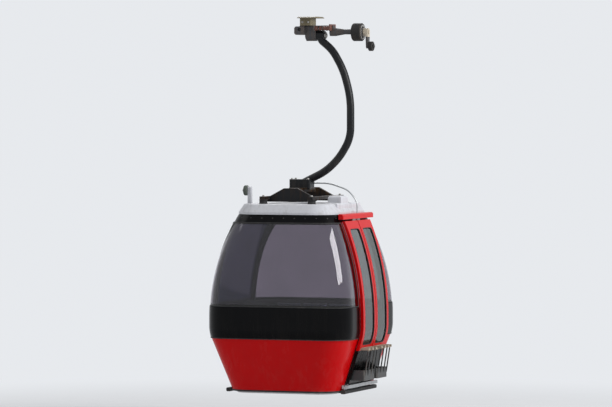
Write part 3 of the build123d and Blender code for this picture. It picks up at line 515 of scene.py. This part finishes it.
def on_corner(height, share, grow=0.0):
    """Points and normals of the rounded corner at +X and -Y. A ball of the corner's radius rolls along both
    walls: its middle lies that radius inside them, and the surface is one radius from it along the normal.
    The ball's height that brings the point to the wanted height is found by halving."""
    height, share = np.broadcast_arrays(np.asarray(height, float), np.asarray(share, float))
    radius = CORNER_RADIUS + grow
    under, over = height - radius, height + radius
    for _ in range(HALVINGS):
        ball = (under + over) / 2
        too_high = ball + radius * corner_normal(ball, share)[..., 2] > height
        under, over = np.where(too_high, under, ball), np.where(too_high, ball, over)
    normals = corner_normal(ball, share)
    across, along = half_size(ball, 0, -CORNER_RADIUS), half_size(ball, 1, -CORNER_RADIUS)
    centre = np.stack([across, -along, BOTTOM + ball], axis=-1)
    return centre + radius * normals, normals


def corner_share(place, height, grow=0.0):
    """Share of the corner's turn at which it is as far along the cabin as the place, or 0 before the corner.
    It is found by halving."""
    low_share, high_share = np.zeros(np.shape(height)), np.ones(np.shape(height))
    for _ in range(SHARE_HALVINGS):
        share = (low_share + high_share) / 2
        too_far = -on_corner(height, share, grow)[0][..., 1] > abs(place)
        low_share, high_share = np.where(too_far, low_share, share), np.where(too_far, share, high_share)
    corner_start = -on_corner(height, np.zeros(np.shape(height)), grow)[0][..., 1]
    return np.where(corner_start > abs(place), 0.0, share)


def join(*lines):
    """Several lines as one, end to end."""
    return tuple(np.concatenate(parts) for parts in zip(*lines))


def backwards(line):
    """The same line from its other end."""
    return line[0][::-1], line[1][::-1]


def mirrored(points, normals):
    """The same line or places at the other end of the cabin."""
    return points * (1, -1, 1), normals * (1, -1, 1)


def level_line(height, door_y, closed_y, grow=0.0, count=24):
    """Line round the -Y end at one height, from a place on the door side to one on the closed side: a
    straight and a corner, or part of a corner, then the straight end, and the same on the other side."""
    sides = []
    for side, place in ((1, door_y), (-1, closed_y)):
        start = float(corner_share(place, np.array([height]), grow)[0])
        points, normals = on_corner(height, np.linspace(start, 1, count), grow)
        if start == 0:
            run = np.linspace(place, -points[0, 1], count // 2, endpoint=False)
            x, z = points[0, 0], points[0, 2]
            straight = np.stack([np.full_like(run, x), -run, np.full_like(run, z)], axis=1)
            points = np.concatenate([straight, points])
            normals = np.concatenate([np.tile(normals[:1], (len(run), 1)), normals])
        sides.append((points * (side, 1, 1), normals * (side, 1, 1)))
    across = np.linspace(sides[0][0][-1], sides[1][0][-1], count)[1:-1]
    return join(sides[0], (across, np.tile(sides[0][1][-1:], (len(across), 1))), backwards(sides[1]))


def upright_line(place, side, heights):
    """Line up the side wall at one place along the cabin, following the corner where it has begun."""
    share = corner_share(place, heights)
    points, normals = on_corner(heights, share)
    flat = np.stack([half_size(heights, 0), np.full_like(heights, -abs(place)), BOTTOM + heights], axis=1)
    upright = unit(np.stack([np.ones_like(heights), 0 * heights, -hull_slope(heights, 0)], axis=1))
    on_wall = (share == 0)[:, None]
    mirror = (side, -math.copysign(1, place), 1)
    return np.where(on_wall, flat, points) * mirror, np.where(on_wall, upright, normals) * mirror


def round_cabin(height, grow=0.0):
    """Line at one height from the front door post round the front, closed side and rear to the other post."""
    front = level_line(height, DOOR_POST_END, 0.0, grow)
    return join(front, backwards(mirrored(*front)))


def spaced(line, gap):
    """Places and normals at even gaps along a line, by its running length."""
    run = running_length(line[0])
    marks = np.linspace(gap / 2, run[-1] - gap / 2, int(run[-1] / gap))
    points, normals = (at_marks(part, run, marks) for part in line)
    return points, unit(normals)


def running_length(points):
    """Length along a line of points from its start to each of them."""
    return np.concatenate([[0], np.cumsum(np.linalg.norm(np.diff(points, axis=0), axis=1))])


def at_marks(values, run, marks):
    """Values of a line's points, read off at marks of its running length."""
    return np.stack([np.interp(marks, run, values[:, axis]) for axis in range(3)], axis=1)


# Meshes from arrays

def add_piece(name, vertices, faces, material, body, smooth=True):
    """Object with its place in its mesh, from an array of vertices and one or more arrays of faces."""
    mesh = bpy.data.meshes.new(name)
    corners = [list(face) for block in faces for face in block]
    mesh.from_pydata(np.asarray(vertices).reshape(-1, 3).tolist(), [], corners)
    mesh.polygons.foreach_set("use_smooth", np.full(len(mesh.polygons), smooth))
    mesh.materials.append(material)
    mesh.update()
    piece = bpy.data.objects.new(name, mesh)
    bpy.context.scene.collection.objects.link(piece)
    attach(piece, body)
    return piece


def grid_faces(rows, columns, closed_rows=False):
    """Four-sided faces between neighbours of a grid that was written row by row, each row a closed ring."""
    row = np.arange(rows if closed_rows else rows - 1)[:, None]
    column = np.arange(columns)[None, :]
    next_row, next_column = (row + 1) % rows, (column + 1) % columns
    corners = (row * columns + column, next_row * columns + column,
               next_row * columns + next_column, row * columns + next_column)
    return np.stack([np.broadcast_to(c, (row.size, column.size)).ravel() for c in corners], axis=1)


def rings_with_caps(rings, steps):
    """Faces of a row of rings, with one many-sided face over the first and one over the last."""
    last = (rings - 1) * steps
    return [grid_faces(rings, steps), np.arange(steps)[None], np.arange(last, last + steps)[None, ::-1]]


def sweep(path, up, profile, closed):
    """A profile of (aside, upward) points carried along a path: each vertex is the path's point plus the
    profile's two measures along the path's side and its own upward direction. Returns vertices and faces."""
    ahead = np.roll(path, -1, axis=0) - np.roll(path, 1, axis=0)
    if not closed:
        ahead[0], ahead[-1] = path[1] - path[0], path[-1] - path[-2]
    ahead = unit(ahead)
    up = unit(up - (up * ahead).sum(1, keepdims=True) * ahead)
    aside = np.cross(ahead, up)
    points = path[:, None] + profile[None, :, :1] * aside[:, None] + profile[None, :, 1:] * up[:, None]
    rows, columns = len(path), len(profile)
    faces = [grid_faces(rows, columns, closed_rows=True)] if closed else rings_with_caps(rows, columns)
    return points.reshape(-1, 3), faces


def half_round(width, height, steps=7, sunk=0.002):
    """Profile of a bead that lies on a surface: a half ellipse over a short foot below the surface."""
    turn = np.linspace(0, math.pi, steps)
    bow = np.stack([np.cos(turn) * width / 2, np.sin(turn) * height], axis=1)
    return np.concatenate([bow, [[-width / 2, -sunk], [width / 2, -sunk]]])


def circle(radius, steps):
    """Points at even angles round the origin."""
    turn = np.linspace(0, 2 * math.pi, steps, endpoint=False)
    return np.stack([np.cos(turn), np.sin(turn)], axis=1) * radius


def smooth_loop(points):
    """A closed line with its corners eased: each point moves to the mean of itself and its two neighbours."""
    return (np.roll(points, 1, axis=0) + points + np.roll(points, -1, axis=0)) / 3


def lathe(profile, steps=48):
    """Vertices and faces of a profile of (along, radius) points turned about the X axis."""
    turn = np.linspace(0, 2 * math.pi, steps, endpoint=False)
    along, radius = np.array(profile).T
    points = np.stack([np.broadcast_to(along[:, None], (len(along), steps)),
                       radius[:, None] * np.cos(turn), -radius[:, None] * np.sin(turn)], axis=-1)
    return points.reshape(-1, 3), rings_with_caps(len(along), steps)


def repeat(vertices, faces, places, ways):
    """Copies of a small shape whose own axis is X, each turned to its way and moved to its place."""
    nearly_upright = 0.9
    places, ways = np.atleast_2d(places), unit(np.atleast_2d(ways).astype(float))
    helper = np.where(np.abs(ways[:, 2:]) < nearly_upright, [[0, 0, 1.0]], [[1.0, 0, 0]])
    second = unit(np.cross(helper, ways))
    third = np.cross(ways, second)
    frames = np.stack([ways, second, third], axis=1)
    points = np.einsum("vk,nkc->nvc", vertices, frames) + places[:, None]
    shift = np.arange(len(places)) * len(vertices)
    copies = [(np.asarray(block)[None] + shift[:, None, None]).reshape(-1, np.asarray(block).shape[1])
              for block in faces]
    return points.reshape(-1, 3), copies


def bolt(across=0.018, height=0.009, washer=0.026):
    """Washer with a chamfered six-sided head: rings of points round X, on a circle for the washer and, for
    the head, at the radius of a hexagon, which is half its width over the cosine of the angle from the
    nearest flat's middle."""
    steps, sunk, washer_side, washer_top, washer_edge = 24, 0.001, 0.0018, 0.0025, 0.0008
    chamfer_height, chamfer_radius, tip = 0.8, 0.84, 0.02
    turn = np.arange(steps) * 2 * math.pi / steps
    flat = across / 2 / np.cos((turn + math.pi / 6) % (math.pi / 3) - math.pi / 6)
    disc = np.full(steps, washer / 2)
    rings = [(-sunk, disc), (washer_side, disc), (washer_top, disc - washer_edge), (washer_top, flat),
             (height * chamfer_height, flat), (height, flat * chamfer_radius), (height, flat * tip)]
    points = np.concatenate([np.stack([np.full(steps, x), r * np.cos(turn), -r * np.sin(turn)], axis=1)
                             for x, r in rings])
    return points, rings_with_caps(len(rings), steps)


def rivet(radius, height):
    """Low dome: rings at equal angles of a quarter turn, flattened to its height, with a small flat top."""
    flat_top = 0.05
    rise = np.linspace(0, math.pi / 2 - flat_top, 4)
    return lathe(np.stack([np.sin(rise) * height, np.cos(rise) * radius], axis=1), steps=10)


def add_copies(name, shape, places, ways, body, slot, smooth=True):
    """One piece of equal small shapes, each at its place and turned to its way."""
    vertices, faces = repeat(*shape, places, ways)
    return add_piece(name, vertices, faces, materials[slot], body, smooth)


def add_bolts(name, shape, places, ways, body):
    """One piece of equal steel bolts with flat facets."""
    add_copies(name, shape, places, ways, body, "bright_steel", smooth=False)


def add_bead(name, line, profile, closed, body="carrier"):
    """Rubber bead of a profile along a line on the surface."""
    vertices, faces = sweep(*line, profile, closed)
    add_piece(name, vertices, faces, materials["black_rubber"], body)


# Beads, screws and bolts, in metres

UP = (0, 0, 1)
PANE_BEAD = half_round(width=0.015, height=0.005)
WAIST_BEAD = half_round(width=0.012, height=0.004)
SKIRT_BEAD = half_round(width=0.022, height=0.006)
BEAD_INSET, UPRIGHT_STEPS, SILL_STEPS = 0.006, 48, 12
WAIST_BEAD_HEIGHT, SKIRT_BEAD_HEIGHT = BAND_BASE + 0.004, 0.028
HEADER_SCREW_HEIGHT, HEADER_SCREW_GAP = 2.040, 0.13
SKIRT_RIVET_HEIGHT, SKIRT_RIVET_GAP = 0.075, 0.16


def add_body_beads():
    """Rubber beads round the end panes and the side pane, along the waist band and the skirt, with the
    header's screws and the skirt's rivets."""
    low, high = SILL + BEAD_INSET, WINDOW_HEAD - BEAD_INSET
    heights = np.linspace(low, high, UPRIGHT_STEPS)
    door_edge, closed_edge = DOOR_POST_END + BEAD_INSET, SIDE_POST_END - BEAD_INSET
    pane = join(level_line(low, door_edge, closed_edge), upright_line(-closed_edge, -1, heights),
                backwards(level_line(high, door_edge, closed_edge)),
                backwards(upright_line(-door_edge, 1, heights)))
    for end, (points, normals) in (("front", pane), ("rear", mirrored(*pane))):
        add_bead("end_window_bead_" + end, (smooth_loop(points), normals), PANE_BEAD, True)
    edge = SIDE_WINDOW_HALF - BEAD_INSET
    width = np.linspace(-edge, edge, SILL_STEPS)
    outward = np.tile([[-1.0, 0, 0]], (SILL_STEPS, 1))
    sill, head = (np.stack([np.full(SILL_STEPS, -half_size(height, 0)), width,
                            np.full(SILL_STEPS, BOTTOM + height)], axis=1) for height in (low, high))
    points, normals = join((sill, outward), upright_line(edge, -1, heights),
                           (head[::-1], outward), backwards(upright_line(-edge, -1, heights)))
    add_bead("side_window_bead", (smooth_loop(points), normals), PANE_BEAD, True)
    add_bead("waist_band_bead", round_cabin(WAIST_BEAD_HEIGHT, BAND_PROUD), WAIST_BEAD, False)
    add_bead("skirt_edge_bead", round_cabin(SKIRT_BEAD_HEIGHT), SKIRT_BEAD, False)
    places, ways = spaced(round_cabin(HEADER_SCREW_HEIGHT), HEADER_SCREW_GAP)
    add_copies("header_screws", rivet(radius=0.007, height=0.0025), places, ways, "carrier", "dark_steel")
    places, ways = spaced(round_cabin(SKIRT_RIVET_HEIGHT), SKIRT_RIVET_GAP)
    add_copies("skirt_rivets", rivet(radius=0.006, height=0.0022), places, ways, "carrier", "red_paint")


def rounded_rectangle(across, up, corner, corner_steps=8, side_steps=28):
    """Closed line of (across, up) points: four quarter circles joined by straights."""
    turn = np.linspace(0, math.pi / 2, corner_steps)
    quarters = []
    for quarter, (a, b) in enumerate(((1, 1), (0, 1), (0, 0), (1, 0))):
        centre = (across[a] + (corner if a == 0 else -corner), up[b] + (corner if b == 0 else -corner))
        angle = turn + quarter * math.pi / 2
        quarters.append(np.stack([centre[0] + corner * np.cos(angle),
                                  centre[1] + corner * np.sin(angle)], axis=1))
    line = np.concatenate(quarters)
    half = 2 * corner_steps
    downward = np.linspace(line[half - 1, 1], line[half, 1], side_steps + 2)[1:-1]
    left = np.stack([np.full(side_steps, across[0]), downward], axis=1)
    right = np.stack([np.full(side_steps, across[1]), downward[::-1]], axis=1)
    return np.concatenate([line[:half], left, line[half:], right])


def add_door_beads():
    """Rubber bead in the frame of each door pane, which follows the leaf's curve."""
    inset, corner, sunk, radius = 0.005, 0.042, 0.006, 0.0065
    glass_low, glass_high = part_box("door_glass_rear")
    base, head = glass_low.z - BOTTOM + inset, glass_high.z - BOTTOM - inset
    line = rounded_rectangle((glass_low.y + inset, glass_high.y - inset), (base, head), corner)
    x = half_size(line[:, 1], 0, LEAF_OUT - sunk)
    points = np.stack([x, line[:, 0], BOTTOM + line[:, 1]], axis=1)
    normals = unit(np.stack([np.ones_like(x), 0 * x, -hull_slope(line[:, 1], 0)], axis=1))
    for end, on_leaf in (("rear", (points, normals)), ("front", mirrored(points, normals))):
        add_bead("door_pane_bead_" + end, on_leaf, circle(radius, 8), True, "door_" + end)


def add_hanger_details():
    """Bolts of the hanger's foot and of the rubber mounts, and the mounts' flanged sleeves."""
    foot_inset, foot_height = (0.030, 0.025), 0.100
    mount_radius, rail_height = 0.045, 0.036
    foot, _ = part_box("hanger_arm")
    foot_x, foot_y, foot_top = -foot.x - foot_inset[0], -foot.y - foot_inset[1], foot.z + foot_height
    corners = [(x, y, foot_top) for x in (-foot_x, foot_x) for y in (-foot_y, foot_y)]
    foot_bolt = bolt(across=0.024, height=0.015, washer=0.036)
    add_bolts("hanger_foot_bolts", foot_bolt, corners, [UP] * len(corners), "carrier")
    mount_low, mount_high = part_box("rubber_mounts")
    mount_x, mount_y = mount_high.x - mount_radius, mount_high.y - mount_radius
    middles = [(x, y) for x in (-mount_x, mount_x) for y in (-mount_y, mount_y)]
    tops = [(*place, mount_high.z + rail_height) for place in middles]
    mount_bolt = bolt(across=0.024, height=0.016, washer=0.040)
    add_bolts("mount_bolts", mount_bolt, tops, [UP] * len(tops), "carrier")
    bases = [(*place, mount_low.z) for place in middles]
    sleeve = mount_sleeve(mount_high.z - mount_low.z)
    add_copies("mount_sleeves", sleeve, bases, [UP] * len(bases), "carrier", "black_rubber")


def mount_sleeve(height):
    """Sleeve turned about X: a body with a groove round its middle, between two flanges with rounded edges.
    It stops short of the mount's two ends."""
    hole, body, groove, flange, edge = 0.002, 0.047, 0.0455, 0.053, 0.001
    lower = [(0.001, hole), (0.001, flange - edge), (0.002, flange), (0.004, flange), (0.005, flange - edge),
             (0.006, body), (0.021, body)]
    upper = [(height - along, radius) for along, radius in lower[::-1]]
    return lathe([*lower, (height / 2, groove), *upper])


def add_grip_details():
    """Bolts of the jaws and shoe, rings on the spring cans, and bolts on both faces of the wheel."""
    bracket_side, shoe_bolt_height, shoe_bolt_places = 0.090, 0.085, (0.040, 0.112)
    jaw_bolt_height, jaw_bolt_places = -0.014, (-0.055, 0, 0.055)
    can_side, can_height, ring_places = 0.066, 0.012, (0.236, 0.286)
    ring_inner, ring_outer, ring_width = 0.022, 0.029, 0.008
    half_web, bolt_circle, wheel_bolts = 0.013, 0.060, 6
    flanks = [(x, side * bracket_side, shoe_bolt_height) for x in shoe_bolt_places for side in (-1, 1)]
    add_bolts("shoe_bolts", bolt(), flanks, [(0, side, 0) for _, side, _ in flanks], "grip")
    jaw_low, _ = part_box("moving_jaw")
    sides = [(jaw_low.x, y, jaw_bolt_height) for y in jaw_bolt_places]
    add_bolts("jaw_bolts", bolt(), sides, [(-1, 0, 0)] * len(sides), "grip")
    ring = lathe([(0, ring_inner), (0, ring_outer), (ring_width, ring_outer), (ring_width, ring_inner)],
                 steps=32)
    places = [(x, y, can_height) for x in ring_places for y in (-can_side, can_side)]
    add_copies("spring_rings", ring, places, [(1, 0, 0)] * len(places), "grip", "dark_steel")
    web, _, axle = places_of_joints["wheel_turn"]
    turn = np.arange(wheel_bolts) * 2 * math.pi / wheel_bolts
    y, z = bolt_circle * np.cos(turn), axle + bolt_circle * np.sin(turn)
    wheel_bolt = bolt(across=0.011, height=0.006, washer=0.015)
    for name, way in (("wheel_bolts_outer", 1), ("wheel_bolts_inner", -1)):
        places = np.stack([np.full(wheel_bolts, web + way * half_web), y, z], axis=1)
        add_bolts(name, wheel_bolt, places, [(way, 0, 0)] * wheel_bolts, "running_wheel")


def cornered(corners, gap=0.0015, rounds=6):
    """Places at even gaps along a bent line, with its corners eased by a running mean, and its ends kept."""
    corners = np.array(corners)
    run = running_length(corners)
    line = at_marks(corners, run, np.linspace(0, run[-1], int(run[-1] / gap)))
    for _ in range(rounds):
        line[1:-1] = (line[:-2] + line[1:-1] + line[2:]) / 3
    return line


def weld(corners, up, radius=0.0050):
    """Weld bead: a round profile along a bent line, whose radius rises and falls with each laid drop, as one
    plus a small sine of the running length."""
    ripple, ripple_rate, end_radius = 0.12, 1.9, 0.5
    line = cornered(corners)
    vertices, faces = sweep(line, np.tile([up], (len(line), 1)), circle(1.0, 10), False)
    reach = radius * (1 + ripple * np.sin(np.arange(len(line)) * ripple_rate))
    reach[[0, -1]] = radius * end_radius
    spread = (vertices.reshape(len(line), -1, 3) - line[:, None]) * reach[:, None, None]
    return (line[:, None] + spread).reshape(-1, 3), faces


def add_frame_details():
    """Welds round the arched plates where they meet the rails' inner sides, and round the beam's ends."""
    rail_width, arch_place, half_plate = 0.060, 0.360, 0.0225
    rail_base, arch_edge = BOTTOM + 2.252, BOTTOM + 2.282
    beam_side, beam_depth, below_top = 0.0455, 0.0505, 0.002
    _, frame_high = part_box("suspension_frame")
    rail_side, inner = frame_high.x - rail_width, arch_place - half_plate
    beam_base, beam_top = frame_high.z - beam_depth, frame_high.z - below_top
    welds = []
    for end in (-1, 1):
        y_low, y_high = end * arch_place - half_plate, end * arch_place + half_plate
        for side in (-1, 1):
            x = side * rail_side
            welds.append(weld([(x, y_low, rail_base), (x, y_low, arch_edge), (x, y_high, arch_edge),
                               (x, y_high, rail_base)], (-side, 0, 0)))
        y = end * inner
        welds.append(weld([(-beam_side, y, beam_top), (-beam_side, y, beam_base), (beam_side, y, beam_base),
                           (beam_side, y, beam_top)], (0, -end, 0)))
    parts, faces, start = [], [], 0
    for vertices, grids in welds:
        parts.append(vertices)
        faces += [np.asarray(grid) + start for grid in grids]
        start += len(vertices)
    add_piece("frame_weld_beads", np.concatenate(parts), faces, materials["dark_steel"], "carrier")


def add_roof_and_rail_details():
    """Screws on the door drive cover and the rack combs, and a nut on the roof roller's pin."""
    cover_places, cover_row, cover_flange = (0.445, 0.545), (-0.355, 0.110, 0.355), BOTTOM + 2.212
    rack_place, rack_row = 0.912, (0.075, 0.225, 0.375)
    places = [(x, y, cover_flange) for x in cover_places for y in cover_row]
    cover_screw, rack_screw = rivet(radius=0.009, height=0.004), rivet(radius=0.007, height=0.003)
    add_copies("drive_cover_screws", cover_screw, places, [UP] * len(places), "carrier", "bright_steel")
    post_low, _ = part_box("roof_roller_post")
    _, pin_y, pin_z = places_of_joints["roof_roller_turn"]
    pin_nut, nut_sunk = bolt(across=0.020, height=0.010, washer=0.026), 0.001
    add_bolts("roof_pin_nut", pin_nut, [(post_low.x + nut_sunk, pin_y, pin_z)], [(-1, 0, 0)], "carrier")
    _, rack_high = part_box("ski_rack_rear")
    for end, sign in (("rear", 1), ("front", -1)):
        places = [(rack_place, sign * y, rack_high.z) for y in rack_row]
        add_copies("rack_screws_" + end, rack_screw, places, [UP] * len(places), "door_" + end,
                   "bright_steel")


# Seats

SEATS = 4
SEAT_DROP = 0.008
VOXEL = 0.007
SWELL = 0.009
PRESSURE = 4.0
SETTLE_FRAMES = 20
CHANNEL_DEPTH, CHANNEL_WIDTH = 0.006, 0.009


def solid_copy(node):
    """Copy of a CAD node's mesh with its loose triangles merged."""
    copy = nodes[node].data.copy()
    shell = bmesh.new()
    shell.from_mesh(copy)
    bmesh.ops.remove_doubles(shell, verts=shell.verts, dist=1e-5)
    shell.to_mesh(copy)
    shell.free()
    return copy


def get_points(mesh):
    points = np.empty(len(mesh.vertices) * 3, np.float32)
    mesh.vertices.foreach_get("co", points)
    return points.reshape(-1, 3).astype(float)


def set_points(mesh, points):
    mesh.vertices.foreach_set("co", np.ascontiguousarray(points, np.float32).ravel())
    mesh.update()


def get_normals(mesh):
    normals = np.empty(len(mesh.vertices) * 3, np.float32)
    mesh.vertex_normals.foreach_get("vector", normals)
    return normals.reshape(-1, 3).astype(float)


def evaluated_mesh(piece):
    """Mesh of a piece with its modifiers applied."""
    graph = bpy.context.evaluated_depsgraph_get()
    return bpy.data.meshes.new_from_object(piece.evaluated_get(graph))


def swell(piece):
    """Run the cloth simulation under pressure and keep the mesh that it ends with."""
    cloth = piece.modifiers.new("cloth", "CLOTH")
    cloth.settings.use_pressure = True
    cloth.settings.uniform_pressure_force = PRESSURE
    cloth.settings.effector_weights.gravity = 0
    cloth.collision_settings.use_collision = False
    for step in range(1, SETTLE_FRAMES + 1):
        bpy.context.scene.frame_set(step)
    swelled = evaluated_mesh(piece)
    bpy.context.scene.frame_set(1)
    piece.modifiers.clear()
    piece.data = swelled


def padded_mesh(node, count, drop):
    """Cushions of one node: each solid shrunk about its own middle, remeshed, swelled by a cloth simulation
    under pressure with each point's move capped, pressed flat where it rests, then sunk along two sewn
    channels, which lie a sixth of a seat's width from its middle."""
    mesh = solid_copy(node)
    points = get_points(mesh)
    floor, roof = points.min(0), points.max(0)
    pitch = (roof[0] - floor[0]) / count
    index = np.clip(((points[:, 0] - floor[0]) / pitch).astype(int), 0, count - 1)
    for cushion in range(count):
        own = index == cushion
        low_corner, high_corner = points[own].min(0), points[own].max(0)
        centre = (low_corner + high_corner) / 2
        points[own] = centre + (points[own] - centre) * (1 - 2 * SWELL / (high_corner - low_corner))
    points[:, 2] -= drop
    set_points(mesh, points)
    piece = bpy.data.objects.new("swelling", mesh)
    bpy.context.scene.collection.objects.link(piece)
    remesh = piece.modifiers.new("remesh", "REMESH")
    remesh.mode, remesh.voxel_size = "VOXEL", VOXEL
    piece.data = evaluated_mesh(piece)
    piece.modifiers.clear()
    before = get_points(piece.data)
    swell(piece)
    move = get_points(piece.data) - before
    length = np.maximum(np.linalg.norm(move, axis=1, keepdims=True), 1e-9)
    after = before + move * np.minimum(1, SWELL / length)
    after = np.clip(after, floor, roof)
    middles = floor[0] + pitch * (np.arange(count) + 0.5)
    nearest = middles[np.clip(((after[:, 0] - floor[0]) / pitch).astype(int), 0, count - 1)]
    off = np.abs(np.abs(after[:, 0] - nearest) - pitch / 6)
    facing = get_normals(piece.data)
    front = np.clip(facing[:, 2] if drop else -facing[:, 1], 0, 1)
    sink = CHANNEL_DEPTH * np.exp(-(off / CHANNEL_WIDTH) ** 2) * front
    after -= facing * sink[:, None]
    corners = [list(polygon.vertices) for polygon in piece.data.polygons]
    bpy.data.objects.remove(piece)
    return after, corners


def add_seats():
    """Seat and back cushions at both ends: the rear ones are simulated, and the front ones mirror them."""
    for form, drop in (("seat_cushions", SEAT_DROP), ("back_cushions", 0.0)):
        points, corners = padded_mesh(form + "_rear", SEATS, drop)
        for end, sign in (("rear", 1), ("front", -1)):
            faces = corners if sign > 0 else [face[::-1] for face in corners]
            piece = add_piece("padded_" + form + "_" + end, points * (1, sign, 1), [faces],
                              materials["seat_cloth"], "carrier")
            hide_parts(form + "_" + end)


add_body_beads()
add_door_beads()
add_hanger_details()
add_grip_details()
add_frame_details()
add_roof_and_rail_details()
add_seats()


# Stage, lights and camera

def add_world():
    """Plain ambient light. The camera, gloss and glass see the pale background instead."""
    world = bpy.data.worlds.new("studio")
    bpy.context.scene.world = world
    world.use_nodes = True
    graph = Graph(world.node_tree)
    light = world.node_tree.nodes["Background"]
    light.inputs["Color"].default_value = (1, 1, 1, 1)
    light.inputs["Strength"].default_value = AMBIENT
    ray = graph.add("LightPath").outputs
    seen = graph.math("MAXIMUM", ray["Is Camera Ray"],
                      graph.math("MAXIMUM", ray["Is Glossy Ray"], ray["Is Transmission Ray"]))
    backdrop = graph.add("Background", {"Color": BACKGROUND, "Strength": 1.0})
    both = graph.add("MixShader", {0: seen, 1: light.outputs[0], 2: backdrop.outputs[0]})
    graph.link(both.outputs[0], world.node_tree.nodes["World Output"].inputs["Surface"])


def add_floor():
    """Round pale floor under the hanging cabin. Far out it fades into the background."""
    ring = circle(FLOOR_RADIUS, FLOOR_STEPS)
    rim = np.column_stack([ring, np.zeros(FLOOR_STEPS)]) + (middle.x, middle.y, BOTTOM - FLOOR_GAP)
    mesh = bpy.data.meshes.new("studio_floor")
    mesh.from_pydata(rim.tolist(), [], [list(range(FLOOR_STEPS))])
    floor = bpy.data.objects.new("studio_floor", mesh)
    bpy.context.scene.collection.objects.link(floor)
    material, graph, shader = new_material("pale_floor", Roughness=0.9)
    grain = graph.ramp(graph.noise(graph.place(), scale=3, detail=4), low=0.3, high=0.7)
    darker = (*[FLOOR_GRAIN * c for c in FLOOR_COLOUR[:3]], 1)
    graph.link(graph.mix(grain, FLOOR_COLOUR, darker), shader.inputs["Base Color"])
    flat = graph.add("VectorMath", {0: graph.place(scale=(1, 1, 0))}, operation="LENGTH").outputs["Value"]
    fade = graph.ramp(flat, low=FADE_START, high=FADE_END)
    glow = graph.add("Emission", {"Color": BACKGROUND, "Strength": 1.0})
    both = graph.add("MixShader", {0: fade, 1: shader.outputs[0], 2: glow.outputs[0]})
    graph.link(both.outputs[0], graph.tree.nodes["Material Output"].inputs["Surface"])
    mesh.materials.append(material)


def direction(azimuth, elevation):
    """Way from the object to an eye or lamp: azimuth 0 is at -Y, and 90 is at +X."""
    turn, rise = math.radians(azimuth), math.radians(elevation)
    return Vector((math.sin(turn) * math.cos(rise), -math.cos(turn) * math.cos(rise), math.sin(rise)))


def aim(thing, azimuth, elevation, distance):
    """Put a lamp or camera in the scene at a distance from the object, looking at its middle."""
    bpy.context.scene.collection.objects.link(thing)
    thing.location = middle + direction(azimuth, elevation) * distance
    thing.rotation_euler = (middle - thing.location).to_track_quat("-Z", "Y").to_euler()


def add_lamp(name, azimuth, elevation, distance, size, power):
    """Soft lamp with a rectangular face, aimed at the middle of the object."""
    data = bpy.data.lights.new(name, "AREA")
    data.shape = "RECTANGLE"
    data.size, data.size_y = size
    data.energy = power
    aim(bpy.data.objects.new(name, data), azimuth, elevation, distance)


def add_camera():
    data = bpy.data.cameras.new("camera")
    data.sensor_width = SENSOR_WIDTH
    data.lens = SENSOR_WIDTH * VIEW_DISTANCE / VIEW_WIDTH
    data.clip_end = 4 * VIEW_DISTANCE
    camera = bpy.data.objects.new("camera", data)
    aim(camera, VIEW_AZIMUTH, VIEW_ELEVATION, VIEW_DISTANCE)
    bpy.context.scene.camera = camera


add_world()
add_floor()
add_lamp("key_lamp", azimuth=80, elevation=26, distance=9, size=(4, 5), power=660)
add_lamp("fill_lamp", azimuth=-75, elevation=50, distance=10, size=(6, 6), power=160)
add_lamp("rim_lamp", azimuth=200, elevation=40, distance=9, size=(4, 4), power=260)
add_camera()
bpy.context.scene.view_settings.view_transform = "Standard"
